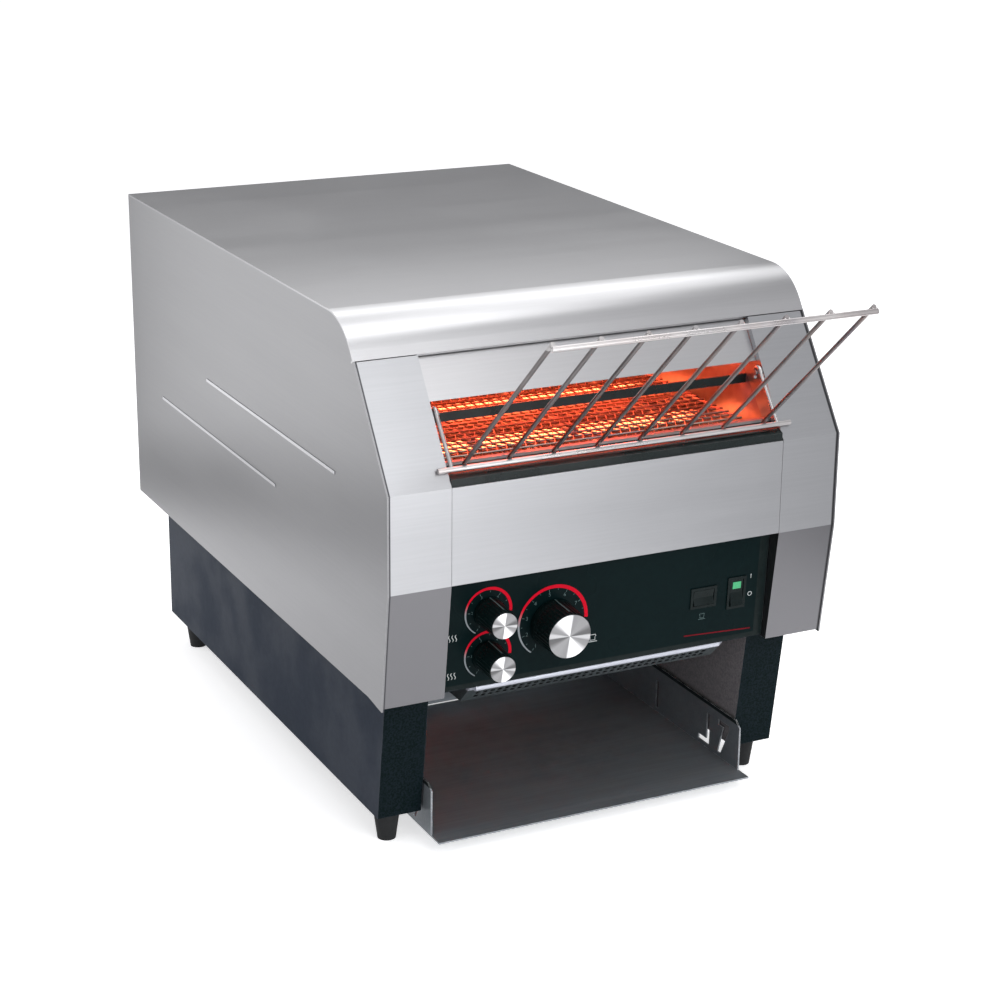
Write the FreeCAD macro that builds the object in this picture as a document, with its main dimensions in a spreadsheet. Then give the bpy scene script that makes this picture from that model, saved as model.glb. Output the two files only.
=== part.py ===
import FreeCAD, Part
import math
import os
import Sketcher

# Conveyor toaster for a shop counter, as an assembly of its separate pieces.
# A wire rack feeds bread through the slanted mouth onto a moving belt between two banks of heaters,
# the toast drops behind the belt, slides down a ramp and stops in the tray under the control panel.
# X runs across, +X on the right for someone facing the front. The front faces -Y. Z is up.
# The origin is on the counter, under the middle of the outer box. Lengths are millimetres.
# Every place along Y below is counted from the upright front face, and FRONT carries it to the origin.

SIZES = {
    # Casing profile: skirt, upright face, slanted face, hood
    "body_half_width": 184.0,
    "body_depth": 553.0,
    "body_top": 401.0,
    "body_bottom": 132.0,
    "skirt_back": 11.4,
    "skirt_drop": 1.0,
    "face_low_share": 0.32714,
    "face_high_share": 0.5948,
    "lip_back": 57.0,
    "lip_share": 0.89777,
    "lip_depth": 4.0,
    "lip_gap": 0.8,
    "hood_bend_radius": 48.0,
    "casing_sheet": 1.2,
    # Shared clearances
    "clearance": 0.3,
    "run_gap": 0.05,
    "cut_over": 2.0,
    # Side panels
    "tab_back": 35.0,
    "tab_drop": 3.0,
    "rib_high": 0.5,
    "rib_wide": 2.4,
    "upper_rib_front_share": 0.16637,
    "upper_rib_back_share": 0.65461,
    "upper_rib_share": 0.56134,
    "lower_rib_front_share": 0.38156,
    "lower_rib_back_share": 0.86257,
    "lower_rib_share": 0.39405,
    "rear_flange": 17.0,
    # Front cheeks and the pins that carry the rack
    "cheek_width": 49.0,
    "cheek_inset": 0.8,
    "cheek_return": 22.0,
    "pin_radius": 2.0,
    "pin_share": 0.53374,
    "pin_inset": 5.1,
    "pin_length": 5.5,
    # Inner chassis sides
    "chassis_inset": 10.0,
    "chassis_top_gap": 13.0,
    "chassis_back_gap": 8.0,
    # Upper front plate
    "plate_recess": 6.0,
    "plate_hook_gap": 1.6,
    "plate_top_gap": 2.0,
    "plate_return": 14.0,
    # Mouth guard
    "guard_rise": 30.0,
    "guard_high": 7.0,
    "guard_gap": 8.4,
    # Centre front panel and the black sill over it
    "panel_return": 12.0,
    "sill_front": 2.2,
    "sill_front_high": 5.5,
    "sill_step": 7.5,
    "sill_step_high": 7.8,
    "sill_back": 19.9,
    "sill_high": 10.0,
    # Control panel, leaning back towards its foot
    "control_top_back": 12.5,
    "control_low_back": 17.6,
    "control_return": 13.5,
    "overlay_thick": 0.5,
    "overlay_low_gap": 3.8,
    "overlay_high_gap": 2.5,
    "overlay_left_gap": 1.4,
    "overlay_right_gap": 8.5,
    # Knobs and the controls behind them
    "small_knob_share": 0.73926,
    "upper_knob_share": 0.66475,
    "lower_knob_share": 0.27535,
    "large_knob_share": 0.34963,
    "large_knob_height_share": 0.46774,
    "knob_length": 27.0,
    "knob_seat_gap": 1.2,
    "knob_taper": 1.0,
    "knob_edge": 0.8,
    "small_knob_radius": 11.6,
    "large_knob_radius": 18.5,
    "cap_thick": 1.0,
    "cap_proud": 0.2,
    "stem_radius": 3.0,
    "stem_depth": 12.0,
    "bushing_radius": 4.6,
    "bushing_length": 0.9,
    "can_radius": 12.0,
    "can_depth": 16.0,
    # Rocker switches
    "feed_rocker_share": 0.58963,
    "feed_rocker_height_share": 0.45622,
    "feed_rocker_wide": 17.0,
    "feed_rocker_tall": 11.4,
    "power_rocker_share": 0.80222,
    "power_rocker_height_share": 0.45046,
    "power_rocker_wide": 10.6,
    "power_rocker_tall": 20.4,
    "rocker_gap": 0.6,
    "rocker_tilt": 6.0,
    "rocker_pivot": 1.0,
    "rocker_proud": 3.2,
    "rocker_dip": 1.2,
    "rocker_depth": 6.0,
    "bezel_rim": 1.2,
    "bezel_proud": 1.1,
    "switch_depth": 16.0,
    "switch_wall": 0.8,
    "lens_low": 3.0,
    "lens_high": 8.4,
    "lens_wide": 7.0,
    "lens_sunk": 1.0,
    "lens_proud": 0.3,
    # Body pan under the casing
    "pan_front": 19.0,
    "pan_opening_gap": 0.5,
    "bay_back": 112.0,
    # Base and feet
    "base_inset": 14.1,
    "base_front": 52.3,
    "base_lean": 15.0,
    "base_back_gap": 35.0,
    "base_bottom": 25.0,
    "base_sheet": 1.5,
    "foot_radius": 10.0,
    "foot_tip_radius": 7.0,
    "foot_rim": 3.0,
    "foot_edge_gap": 4.7,
    "front_foot_back": 69.8,
    "rear_foot_gap": 27.7,
    # Vent grille under the control panel
    "grille_side_gap": 28.0,
    "grille_edge_gap": 4.0,
    "grille_edge_back": 28.7,
    "grille_edge_drop": 4.8,
    "grille_edge_radius": 2.8,
    "grille_foot_back": 44.5,
    "grille_drop": 21.0,
    "grille_cap_back": 33.5,
    "grille_hole_share": 0.6,
    "grille_hole_high": 2.4,
    "grille_pitch_share": 0.05607,
    "grille_row_pitch": 3.8,
    "grille_columns": 33,
    "grille_rows": 3,
    # Belt, its shafts and what carries them
    "belt_axis_share": 0.55762,
    "front_axis_back": 46.0,
    "rear_axis_gap": 97.0,
    "roller_radius": 15.0,
    "roller_wide": 8.0,
    "roller_pitch_share": 0.3937,
    "roller_count": 5,
    "belt_gap": 0.4,
    "belt_thick": 2.5,
    "belt_side_gap": 8.0,
    "shaft_radius": 6.0,
    "shaft_end": 12.0,
    "shaft_hole_radius": 7.5,
    "bearing_radius": 13.0,
    "bearing_wide": 7.6,
    "rail_front_gap": 28.0,
    "rail_back_gap": 26.0,
    "rail_wide": 6.0,
    "rail_tall": 4.2,
    "rail_pitch_share": 0.62992,
    "rail_count": 3,
    "rail_bar_share": 0.27805,
    "rail_bar_pitch_share": 0.43902,
    "rail_bar_count": 2,
    "rail_bar_wide": 8.0,
    "rail_bar_tall": 6.0,
    # Chain drive and gearmotor
    "chain_side_gap": 15.0,
    "sprocket_wide": 6.0,
    "sprocket_radius": 17.0,
    "tooth_gap_radius": 2.4,
    "tooth_count": 14,
    "chain_gap": 0.5,
    "chain_thick": 5.0,
    "motor_bay_gap": 58.0,
    "motor_drop": 56.0,
    "motor_shaft_radius": 5.0,
    "motor_shaft_depth": 14.0,
    "gearbox_half_width": 30.0,
    "gearbox_long": 40.0,
    "motor_radius": 26.0,
    "motor_long": 60.0,
    # Heaters and reflector
    "heater_radius": 4.0,
    "heater_end": 12.0,
    "heater_pitch_share": 0.21951,
    "heater_count": 4,
    "upper_heater_gap": 64.0,
    "upper_heater_drop": 12.0,
    "lower_heater_gap": 70.0,
    "bushing_ring_radius": 8.0,
    "bushing_ring_wide": 6.0,
    "reflector_top_gap": 10.0,
    "reflector_front": 92.0,
    "reflector_back_gap": 12.0,
    "reflector_skirt": 6.0,
    "reflector_drop": 12.0,
    # Chamber floor, rear deflector, ramp, ceiling of the discharge bay
    "floor_share": 0.4461,
    "floor_front": 20.0,
    "floor_back_gap": 14.0,
    "feed_edge_back": 32.0,
    "feed_edge_rise": 9.5,
    "feed_step_rise": 12.0,
    "deflector_gap": 12.0,
    "deflector_low_gap": 1.0,
    "deflector_bend_drop": 26.0,
    "deflector_shoulder": 21.0,
    "deflector_top_gap": 12.0,
    "deflector_front_gap": 30.0,
    "ramp_gap": 4.0,
    "ramp_front_low": 9.8,
    "ramp_front_height": 31.0,
    "ramp_back_drop": 26.0,
    "ceiling_bend_gap": 30.0,
    "ceiling_high_gap": 31.0,
    "ceiling_land": 15.0,
    # Toast tray and its runners
    "tray_side_gap": 1.5,
    "tray_front": 23.4,
    "tray_back": 256.0,
    "tray_bottom": 9.6,
    "tray_sheet": 1.2,
    "tray_wall_front": 38.0,
    "tray_wall_shoulder": 46.0,
    "tray_wall_bevel": 6.0,
    "tray_wall_top": 51.0,
    "slot_wide": 4.4,
    "slot_low": 14.0,
    "rear_slot_back": 165.0,
    "rear_slot_top": 38.0,
    "hook_slot_back": 84.0,
    "hook_slot_top": 41.0,
    "hook_slot_foot": 12.0,
    "lance_front": 53.0,
    "lance_back": 69.0,
    "lance_top": 42.0,
    "runner_front": 110.0,
    "runner_back": 250.0,
    "runner_foot_width": 17.0,
    "runner_flange_width": 23.0,
    # Cooling fan in the control bay
    "fan_share": 0.14815,
    "fan_bay_gap": 41.0,
    "fan_half_width": 39.0,
    "fan_high": 25.0,
    "fan_bore": 37.0,
    "fan_tip": 35.5,
    "fan_hub": 15.0,
    "fan_strut": 5.0,
    "fan_plinth": 5.5,
    "fan_lift": 0.5,
    "fan_rotor_high": 17.0,
    "fan_pin_radius": 2.0,
    "fan_pin_depth": 4.0,
    "blade_low": 2.0,
    "blade_high": 15.0,
    "blade_sweep": 5.0,
    "blade_thick": 1.8,
    "blade_count": 7,
    # Control board
    "board_left_gap": 11.0,
    "board_right_share": 0.25185,
    "board_low_gap": 14.8,
    "board_high_gap": 34.0,
    "board_thick": 1.6,
    "board_stand": 10.0,
    "board_post_radius": 3.0,
    "board_post_inset": 8.0,
    "relay_share": 0.22222,
    "relay_depth": 17.0,
    "relay_high": 28.0,
    "relay_pitch_share": 0.31111,
    "relay_count": 3,
    # Rear panel, its vents, screws and cable gland
    "louvre_wide": 110.0,
    "louvre_high": 4.0,
    "louvre_pitch": 10.0,
    "louvre_count": 8,
    "louvre_drop": 165.0,
    "louvre_centre": 20.0,
    "screw_inset": 9.0,
    "screw_low_gap": 18.0,
    "screw_pitch_share": 0.28996,
    "screw_rows": 4,
    "screw_radius": 2.0,
    "screw_long": 7.0,
    "screw_head_radius": 4.0,
    "screw_head_high": 2.2,
    "gland_side_gap": 33.0,
    "gland_rise": 28.0,
    "gland_bore": 5.0,
    "gland_thread_radius": 9.0,
    "gland_thread_depth": 10.0,
    "gland_flange_radius": 13.0,
    "gland_flange_depth": 4.0,
    "gland_dome_radius": 10.0,
    "gland_dome_start": 6.0,
    "gland_length": 14.0,
    # Feed rack
    "rack_length": 121.0,
    "rack_height": 418.5,
    "rack_top_inset": 11.5,
    "rack_rod_overhang": 8.3,
    "rack_rod_rise": 11.6,
    "rack_rod_radius": 2.0,
    "rack_bar_radius": 1.6,
    "rack_bar_over": 0.8,
    "rack_bars": 8,
    "hook_inset": 2.6,
    "hook_drop": 5.0,
}

doc = FreeCAD.newDocument("ConveyorToaster")
sheet = doc.addObject("Spreadsheet::Sheet", "Sizes")
for row, (alias, number) in enumerate(SIZES.items(), 1):
    sheet.set(f"A{row}", alias)
    sheet.set(f"B{row}", str(number))
    sheet.setAlias(f"B{row}", alias)
doc.recompute()


class Length:
    """A number worked out from the sheet, with the formula that keeps it bound to the sheet."""

    def __init__(self, formula, value):
        self.formula = formula
        self.value = value

    def __add__(self, other):
        other = as_length(other)
        return Length(f"({self.formula} + {other.formula})", self.value + other.value)

    def __radd__(self, other):
        return as_length(other) + self

    def __sub__(self, other):
        other = as_length(other)
        return Length(f"({self.formula} - {other.formula})", self.value - other.value)

    def __rsub__(self, other):
        return as_length(other) - self

    def __mul__(self, other):
        other = as_length(other)
        return Length(f"({self.formula} * {other.formula})", self.value * other.value)

    def __rmul__(self, other):
        return as_length(other) * self

    def __truediv__(self, other):
        other = as_length(other)
        return Length(f"({self.formula} / {other.formula})", self.value / other.value)

    def __neg__(self):
        return Length(f"(-1 * {self.formula})", -self.value)


def as_length(number):
    """Let a plain number stand beside lengths in a sum."""
    return number if isinstance(number, Length) else Length(repr(number), float(number))


def named(alias):
    """The sheet's cell of that name."""
    return Length(f"Sizes.{alias}", float(sheet.get(alias)))


def diagonal(run, rise):
    """The straight distance that a run and a rise make."""
    return Length(f"sqrt({run.formula} ^ 2 + {rise.formula} ^ 2)", math.hypot(run.value, rise.value))


def angle_of(rise, run):
    """The angle whose tangent is rise over run."""
    return Length(f"atan2({rise.formula}; {run.formula})", math.degrees(math.atan2(rise.value, run.value)))


def degrees(number):
    """A plain sheet number read as an angle."""
    return Length(f"({number.formula} * 1 deg)", number.value)


X_AXIS = FreeCAD.Vector(1, 0, 0)
Y_AXIS = FreeCAD.Vector(0, 1, 0)
Z_AXIS = FreeCAD.Vector(0, 0, 1)
QUARTER = Length("90 deg", 90.0)
# Turns a sketch of (Y, Z) points from the ground plan into the upright plane that faces X
SIDEWAYS = FreeCAD.Rotation(FreeCAD.Vector(1, 1, 1), 120)

S = {alias: named(alias) for alias in SIZES}

# Places that follow from the outer box, so that a change to it carries along what is inside
body_rise = S["body_top"] - S["body_bottom"]
S["face_low"] = S["body_bottom"] + body_rise * S["face_low_share"]
S["face_high"] = S["body_bottom"] + body_rise * S["face_high_share"]
S["lip_height"] = S["body_bottom"] + body_rise * S["lip_share"]
S["belt_axis_height"] = S["body_bottom"] + body_rise * S["belt_axis_share"]
S["floor_height"] = S["body_bottom"] + body_rise * S["floor_share"]
S["skirt_bottom"] = S["body_bottom"] - S["skirt_drop"]
S["tab_bottom"] = S["body_bottom"] - S["tab_drop"]
S["chassis_top"] = S["body_top"] - S["chassis_top_gap"]
for rib in ("upper_rib", "lower_rib"):
    S[rib + "_height"] = S["body_bottom"] + body_rise * S[rib + "_share"]
    S[rib + "_front"] = S["body_depth"] * S[rib + "_front_share"]
    S[rib + "_back"] = S["body_depth"] * S[rib + "_back_share"]

# The mouth, what bounds it and the rack that hangs in it
S["cheek_inner"] = S["body_half_width"] - S["cheek_width"]
S["pin_height"] = S["face_high"] + (S["lip_height"] - S["face_high"]) * S["pin_share"]
S["hook_top"] = S["pin_height"] + S["pin_radius"] + S["clearance"] + 2 * S["rack_bar_radius"]
S["plate_low"] = S["hook_top"] + S["plate_hook_gap"]
S["plate_high"] = S["chassis_top"] - S["plate_top_gap"]
S["guard_low"] = S["face_high"] + S["guard_rise"]
S["feed_edge_height"] = S["face_high"] + S["feed_edge_rise"]
S["feed_step_height"] = S["face_high"] + S["feed_step_rise"]
S["rack_rod_height"] = S["face_high"] + S["rack_rod_rise"]
S["rack_rod_half_width"] = S["cheek_inner"] + S["rack_rod_overhang"]
S["rack_top_half_width"] = S["cheek_inner"] - S["rack_top_inset"]
S["hook_x"] = S["cheek_inner"] - S["hook_inset"]

# The control panel and what stands on it or behind it
panel_low = S["body_bottom"] + S["casing_sheet"]
panel_rise = S["face_low"] - panel_low
S["overlay_low"] = panel_low + S["overlay_low_gap"]
S["overlay_high"] = S["face_low"] - S["overlay_high_gap"]
S["overlay_left"] = S["cheek_inner"] - S["overlay_left_gap"]
S["overlay_right"] = S["cheek_inner"] - S["overlay_right_gap"]
S["small_knob_x"] = -S["cheek_inner"] * S["small_knob_share"]
S["large_knob_x"] = -S["cheek_inner"] * S["large_knob_share"]
S["upper_knob_height"] = panel_low + panel_rise * S["upper_knob_share"]
S["lower_knob_height"] = panel_low + panel_rise * S["lower_knob_share"]
S["large_knob_height"] = panel_low + panel_rise * S["large_knob_height_share"]
for rocker in ("feed_rocker", "power_rocker"):
    S[rocker + "_x"] = S["cheek_inner"] * S[rocker + "_share"]
    S[rocker + "_height"] = panel_low + panel_rise * S[rocker + "_height_share"]
S["fan_x"] = S["cheek_inner"] * S["fan_share"]
S["fan_back"] = S["bay_back"] - S["fan_bay_gap"]
S["board_left"] = S["cheek_inner"] - S["board_left_gap"]
S["board_right"] = S["cheek_inner"] * S["board_right_share"]
S["board_low"] = panel_low + S["board_low_gap"]
S["board_high"] = S["floor_height"] - S["board_high_gap"]
S["relay_wide"] = (S["board_left"] - S["board_right"]) * S["relay_share"]
S["relay_pitch"] = (S["board_left"] - S["board_right"]) * S["relay_pitch_share"]

# Base, grille, tray and its runners
S["base_half_width"] = S["body_half_width"] - S["base_inset"]
S["base_back"] = S["body_depth"] - S["base_back_gap"]
S["rear_foot_back"] = S["base_back"] - S["rear_foot_gap"]
S["pan_opening_half_width"] = S["cheek_inner"] + S["pan_opening_gap"]
S["grille_half_width"] = S["cheek_inner"] - S["grille_side_gap"]
S["grille_edge_half_width"] = S["grille_half_width"] - S["grille_edge_gap"]
S["grille_edge_height"] = S["body_bottom"] - S["grille_edge_drop"]
S["grille_foot_height"] = S["body_bottom"] - S["grille_drop"]
S["grille_hole_pitch"] = S["grille_half_width"] * S["grille_pitch_share"]
S["grille_hole_wide"] = S["grille_hole_pitch"] * S["grille_hole_share"]
S["tray_half_width"] = S["cheek_inner"] - S["tray_side_gap"]
S["runner_inner"] = S["cheek_inner"] - S["runner_foot_width"]
S["runner_outer"] = S["cheek_inner"] + S["runner_flange_width"]

# Belt, drive and heaters
S["rear_axis_back"] = S["body_depth"] - S["rear_axis_gap"]
belt_long = S["rear_axis_back"] - S["front_axis_back"]
S["belt_half_width"] = S["cheek_inner"] - S["belt_side_gap"]
S["roller_pitch"] = S["belt_half_width"] * S["roller_pitch_share"]
S["rail_pitch"] = S["belt_half_width"] * S["rail_pitch_share"]
S["rail_front"] = S["front_axis_back"] + S["rail_front_gap"]
S["rail_back"] = S["rear_axis_back"] - S["rail_back_gap"]
S["rail_bar_front"] = S["front_axis_back"] + belt_long * S["rail_bar_share"]
S["rail_bar_pitch"] = belt_long * S["rail_bar_pitch_share"]
S["shaft_half_width"] = S["cheek_inner"] + S["shaft_end"]
S["heater_half_width"] = S["cheek_inner"] + S["heater_end"]
S["chain_plane"] = S["cheek_inner"] + S["chain_side_gap"]
S["motor_axis_back"] = S["bay_back"] + S["motor_bay_gap"]
S["motor_axis_height"] = S["floor_height"] - S["motor_drop"]
S["heater_pitch"] = belt_long * S["heater_pitch_share"]
S["reflector_height"] = S["chassis_top"] - S["reflector_top_gap"]
S["reflector_back"] = S["rear_axis_back"] + S["reflector_back_gap"]
S["upper_heater_height"] = S["reflector_height"] - S["upper_heater_drop"]
S["upper_heater_front"] = S["front_axis_back"] + S["upper_heater_gap"]
S["lower_heater_front"] = S["front_axis_back"] + S["lower_heater_gap"]

# Sheets that lead the toast from the belt to the tray
S["floor_back"] = S["rear_axis_back"] + S["floor_back_gap"]
S["deflector_back"] = S["body_depth"] - S["deflector_gap"]
S["deflector_front"] = S["rear_axis_back"] + S["deflector_front_gap"]
S["deflector_shoulder_back"] = S["deflector_back"] - S["deflector_shoulder"]
S["deflector_top"] = S["chassis_top"] - S["deflector_top_gap"]
S["deflector_bend_height"] = S["deflector_top"] - S["deflector_bend_drop"]
S["ramp_back_height"] = S["floor_height"] - S["ramp_back_drop"]
S["deflector_low"] = S["ramp_back_height"] + S["deflector_low_gap"]
S["ramp_front"] = S["tray_back"] + S["ramp_gap"]
S["ceiling_bend_back"] = S["ramp_front"] - S["ceiling_bend_gap"]
S["ceiling_high_back"] = S["rear_axis_back"] - S["ceiling_high_gap"]

# Rear panel
S["screw_low"] = S["body_bottom"] + S["screw_low_gap"]
S["screw_pitch"] = body_rise * S["screw_pitch_share"]
S["gland_x"] = S["body_half_width"] - S["gland_side_gap"]
S["gland_height"] = S["body_bottom"] + S["gland_rise"]
FRONT = (S["rack_length"] + S["rack_rod_radius"] - S["body_depth"] - S["gland_length"]) / 2
NODES = {}


def bind(thing, path, length):
    """Tie one property to its formula."""
    thing.setExpression(path, as_length(length).formula)


def place(thing, x, y, z, turn=None, axis=X_AXIS):
    """Stand a solid at a place counted from the front face, turned about one axis if asked."""
    start = turn.value if turn else 0
    thing.Placement = FreeCAD.Placement(FreeCAD.Vector(), FreeCAD.Rotation(axis, start))
    bind(thing, "Placement.Base.x", x)
    bind(thing, "Placement.Base.y", FRONT + y)
    bind(thing, "Placement.Base.z", z)
    if turn:
        bind(thing, "Placement.Rotation.Angle", turn)
    return thing


def node(label, thing):
    """Keep a finished sub-part under its own name."""
    thing.Label = label
    NODES[label] = thing
    return thing


def block(label, low, high):
    """A box between two corners."""
    box = doc.addObject("Part::Box", label)
    for side, start, end in zip(("Length", "Width", "Height"), low, high):
        bind(box, side, as_length(end) - start)
    return place(box, *low)


def rod(label, start, radius, length, axis="X"):
    """A round bar from one end, along an axis."""
    bar = doc.addObject("Part::Cylinder", label)
    bind(bar, "Radius", radius)
    bind(bar, "Height", length)
    if axis == "X":
        return place(bar, *start, QUARTER, Y_AXIS)
    if axis == "Y":
        return place(bar, *start, -QUARTER, X_AXIS)
    return place(bar, *start)


def fuse(label, pieces):
    """Several solids as one piece."""
    joined = doc.addObject("Part::MultiFuse", label)
    joined.Shapes = pieces
    return joined


def group(label, pieces):
    """Several separate solids of one kind under one name."""
    kept = doc.addObject("Part::Compound", label)
    kept.Links = pieces
    return kept


def cut(label, base, tools):
    """A solid with other solids taken out of it."""
    rest = doc.addObject("Part::Cut", label)
    rest.Base = base
    rest.Tool = tools[0] if len(tools) == 1 else group(label + "_tools", tools)
    return rest


def mirrored(label, source):
    """The right hand copy of a left hand piece."""
    copy = doc.addObject("Part::Mirroring", label)
    copy.Source = source
    copy.Normal = X_AXIS
    return copy


def pin(sketch, kind, edge, end, length):
    """Hold one end of a sketch line at its distance from the sketch's origin."""
    if length.formula in ("0", "0.0"):
        sketch.addConstraint(Sketcher.Constraint("PointOnObject", edge, end, -2 if kind == "DistanceX" else -1))
        return
    held = sketch.addConstraint(Sketcher.Constraint(kind, -1, 1, edge, end, length.value))
    sketch.setExpression(f"Constraints[{held}]", length.formula)


def draw(sketch, points, closed=True):
    """Straight lines from point to point, each point held by its two distances."""
    points = [(as_length(across), as_length(up)) for across, up in points]
    flat = [FreeCAD.Vector(across.value, up.value, 0) for across, up in points]
    lines = len(points) if closed else len(points) - 1
    for index in range(lines):
        sketch.addGeometry(Part.LineSegment(flat[index], flat[(index + 1) % len(flat)]))
    for index in range(lines if closed else lines - 1):
        sketch.addConstraint(Sketcher.Constraint("Coincident", index, 2, (index + 1) % lines, 1))
    for index, (across, up) in enumerate(points):
        edge, end = (index, 1) if index < lines else (index - 1, 2)
        pin(sketch, "DistanceX", edge, end, across)
        pin(sketch, "DistanceY", edge, end, up)


def origin_part(body, role):
    """One of a body's own origin planes or axes."""
    return next(part for part in body.Origin.OriginFeatures if part.Role == role)


def sketch_in(body, label, role):
    """An empty sketch on one of the body's origin planes."""
    sketch = body.newObject("Sketcher::SketchObject", label)
    sketch.AttachmentSupport = [(origin_part(body, role), "")]
    sketch.MapMode = "FlatFace"
    return sketch


def profile(label, points, low, high, place_at=(0, 0), turn=None):
    """A solid whose side view is the outline and whose width runs between two places along X."""
    body = doc.addObject("PartDesign::Body", label)
    sketch = sketch_in(body, label + "_outline", "YZ_Plane")
    draw(sketch, points)
    pad = body.newObject("PartDesign::Pad", label + "_pad")
    pad.Profile = sketch
    bind(pad, "Length", as_length(high) - low)
    return place(body, low, *place_at, turn)


def turned(label, points, x, y, z, turn=None):
    """A solid of revolution whose half outline is given as (radius, along the axis) points."""
    body = doc.addObject("PartDesign::Body", label)
    sketch = sketch_in(body, label + "_outline", "XZ_Plane")
    draw(sketch, points)
    spun = body.newObject("PartDesign::Revolution", label + "_turn")
    spun.Profile = sketch
    spun.ReferenceAxis = (sketch, ["V_Axis"])
    spun.Angle = 360
    return place(body, x, y, z, turn)


def folded(label, path, low, high, thick):
    """Bent sheet: an open path in the side view, thickened to the right of its direction."""
    sketch = doc.addObject("Sketcher::SketchObject", label + "_path")
    sketch.Placement = FreeCAD.Placement(FreeCAD.Vector(), SIDEWAYS)
    bind(sketch, "Placement.Base.x", low)
    bind(sketch, "Placement.Base.y", FRONT)
    draw(sketch, path, closed=False)
    band = doc.addObject("Part::Offset2D", label + "_band")
    band.Source = sketch
    band.Mode = "Skin"
    band.Join = "Intersection"
    band.Fill = True
    bind(band, "Value", thick)
    wall = doc.addObject("Part::Extrusion", label + "_wall")
    wall.Base = band
    wall.DirMode = "Custom"
    wall.Dir = X_AXIS
    wall.Solid = True
    bind(wall, "LengthFwd", as_length(high) - low)
    return wall


def circle_in(sketch, across, up, radius):
    """A circle held by its centre and radius."""
    across, up, radius = as_length(across), as_length(up), as_length(radius)
    centre = FreeCAD.Vector(across.value, up.value, 0)
    ring = sketch.addGeometry(Part.Circle(centre, Z_AXIS, radius.value))
    pin(sketch, "DistanceX", ring, 3, across)
    pin(sketch, "DistanceY", ring, 3, up)
    held = sketch.addConstraint(Sketcher.Constraint("Radius", ring, radius.value))
    sketch.setExpression(f"Constraints[{held}]", radius.formula)


def rounded(body, corner, radius):
    """Round the edge of a body's last feature that runs along X through one corner of its outline."""
    doc.recompute()
    before = body.Tip
    names = []
    for index, edge in enumerate(before.Shape.Edges, 1):
        ends = [vertex.Point for vertex in edge.Vertexes]
        if all(math.hypot(end.y - corner[0].value, end.z - corner[1].value) < math.ulp(1e9) for end in ends):
            names.append(f"Edge{index}")
    bend = body.newObject("PartDesign::Fillet", body.Name + "_bend")
    bend.Base = (before, names)
    bind(bend, "Radius", radius)
    body.Tip = bend
    return body


# The casing's side view: slope of the slanted face and the points that the panels share
slant_rise = S["lip_height"] - S["face_high"]
slant_long = diagonal(S["lip_back"], slant_rise)
slant_up = slant_rise / slant_long
slant_in = S["lip_back"] / slant_long
sheet_metal = S["casing_sheet"]
side_inner = S["body_half_width"] - sheet_metal
pan_top = S["body_bottom"] + sheet_metal
roof_inner = S["body_top"] - sheet_metal


def on_slant(height):
    """How far back the slanted face lies at a height."""
    return (height - S["face_high"]) * S["lip_back"] / slant_rise


def behind_lip(along, inward):
    """A point from the hood's lip, along the slanted face upward and into the casing."""
    back = S["lip_back"] + slant_in * along + slant_up * inward
    up = S["lip_height"] + slant_up * along - slant_in * inward
    return back, up


# Hood: roof, rounded front and slanted brow in one sheet, with a short lip turned in at its lower edge
hood_corner = (on_slant(S["body_top"]), S["body_top"])
hood_inner_corner = (on_slant(roof_inner) + sheet_metal / slant_up, roof_inner)
lip_turn = [
    behind_lip(sheet_metal, sheet_metal),
    behind_lip(sheet_metal, S["lip_depth"]),
    behind_lip(as_length(0), S["lip_depth"]),
]
hood_outline = [
    (S["lip_back"], S["lip_height"]),
    hood_corner,
    (S["body_depth"], S["body_top"]),
    (S["body_depth"], roof_inner),
    hood_inner_corner,
    *lip_turn,
]
hood = profile("top_hood", hood_outline, -S["body_half_width"], S["body_half_width"])
rounded(hood, hood_corner, S["hood_bend_radius"])
rounded(hood, hood_inner_corner, S["hood_bend_radius"] - sheet_metal)
node("top_hood", hood)

# Side panels: flat sheet cut to the casing's side view, under the hood, with a flange for the rear panel
skirt_slope = S["skirt_back"] / (S["face_low"] - S["skirt_bottom"])
side_outline = [
    (S["body_depth"], S["body_bottom"]),
    (S["body_depth"], roof_inner),
    hood_inner_corner,
    *lip_turn,
    (S["lip_back"], S["lip_height"]),
    (0, S["face_high"]),
    (0, S["face_low"]),
    ((S["face_low"] - S["tab_bottom"]) * skirt_slope, S["tab_bottom"]),
    (S["tab_back"], S["body_bottom"]),
]
side_sheet = profile("side_sheet", side_outline, -S["body_half_width"], -side_inner)
rounded(side_sheet, hood_inner_corner, S["hood_bend_radius"] - sheet_metal)
side_ribs = []
for rib in ("upper_rib", "lower_rib"):
    rib_low = S[rib + "_height"] - S["rib_wide"] / 2
    rib_start = (-S["body_half_width"] - S["rib_high"], S[rib + "_front"], rib_low)
    side_ribs.append(block(rib, rib_start, (-S["body_half_width"], S[rib + "_back"], rib_low + S["rib_wide"])))
rear_inner = S["body_depth"] - sheet_metal
rear_flange = block(
    "side_rear_flange",
    (-side_inner, rear_inner - sheet_metal, pan_top),
    (-side_inner + S["rear_flange"], rear_inner, S["chassis_top"]),
)
screw_places = []
for row in range(SIZES["screw_rows"]):
    for side in (-1, 1):
        screw_places.append((side * (side_inner - S["screw_inset"]), S["screw_low"] + row * S["screw_pitch"]))
screw_start = S["body_depth"] - S["screw_long"]
screw_holes = []
for index, (x, z) in enumerate(screw_places):
    screw_holes.append(rod(f"screw_hole_{index}", (x, screw_start, z), S["screw_radius"], S["screw_long"], "Y"))
side_blank = fuse("side_blank", [side_sheet, rear_flange, *side_ribs])
left_side = node("left_side_panel", cut("left_side_panel", side_blank, screw_holes[::2]))
node("right_side_panel", mirrored("right_side_panel", left_side))

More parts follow.
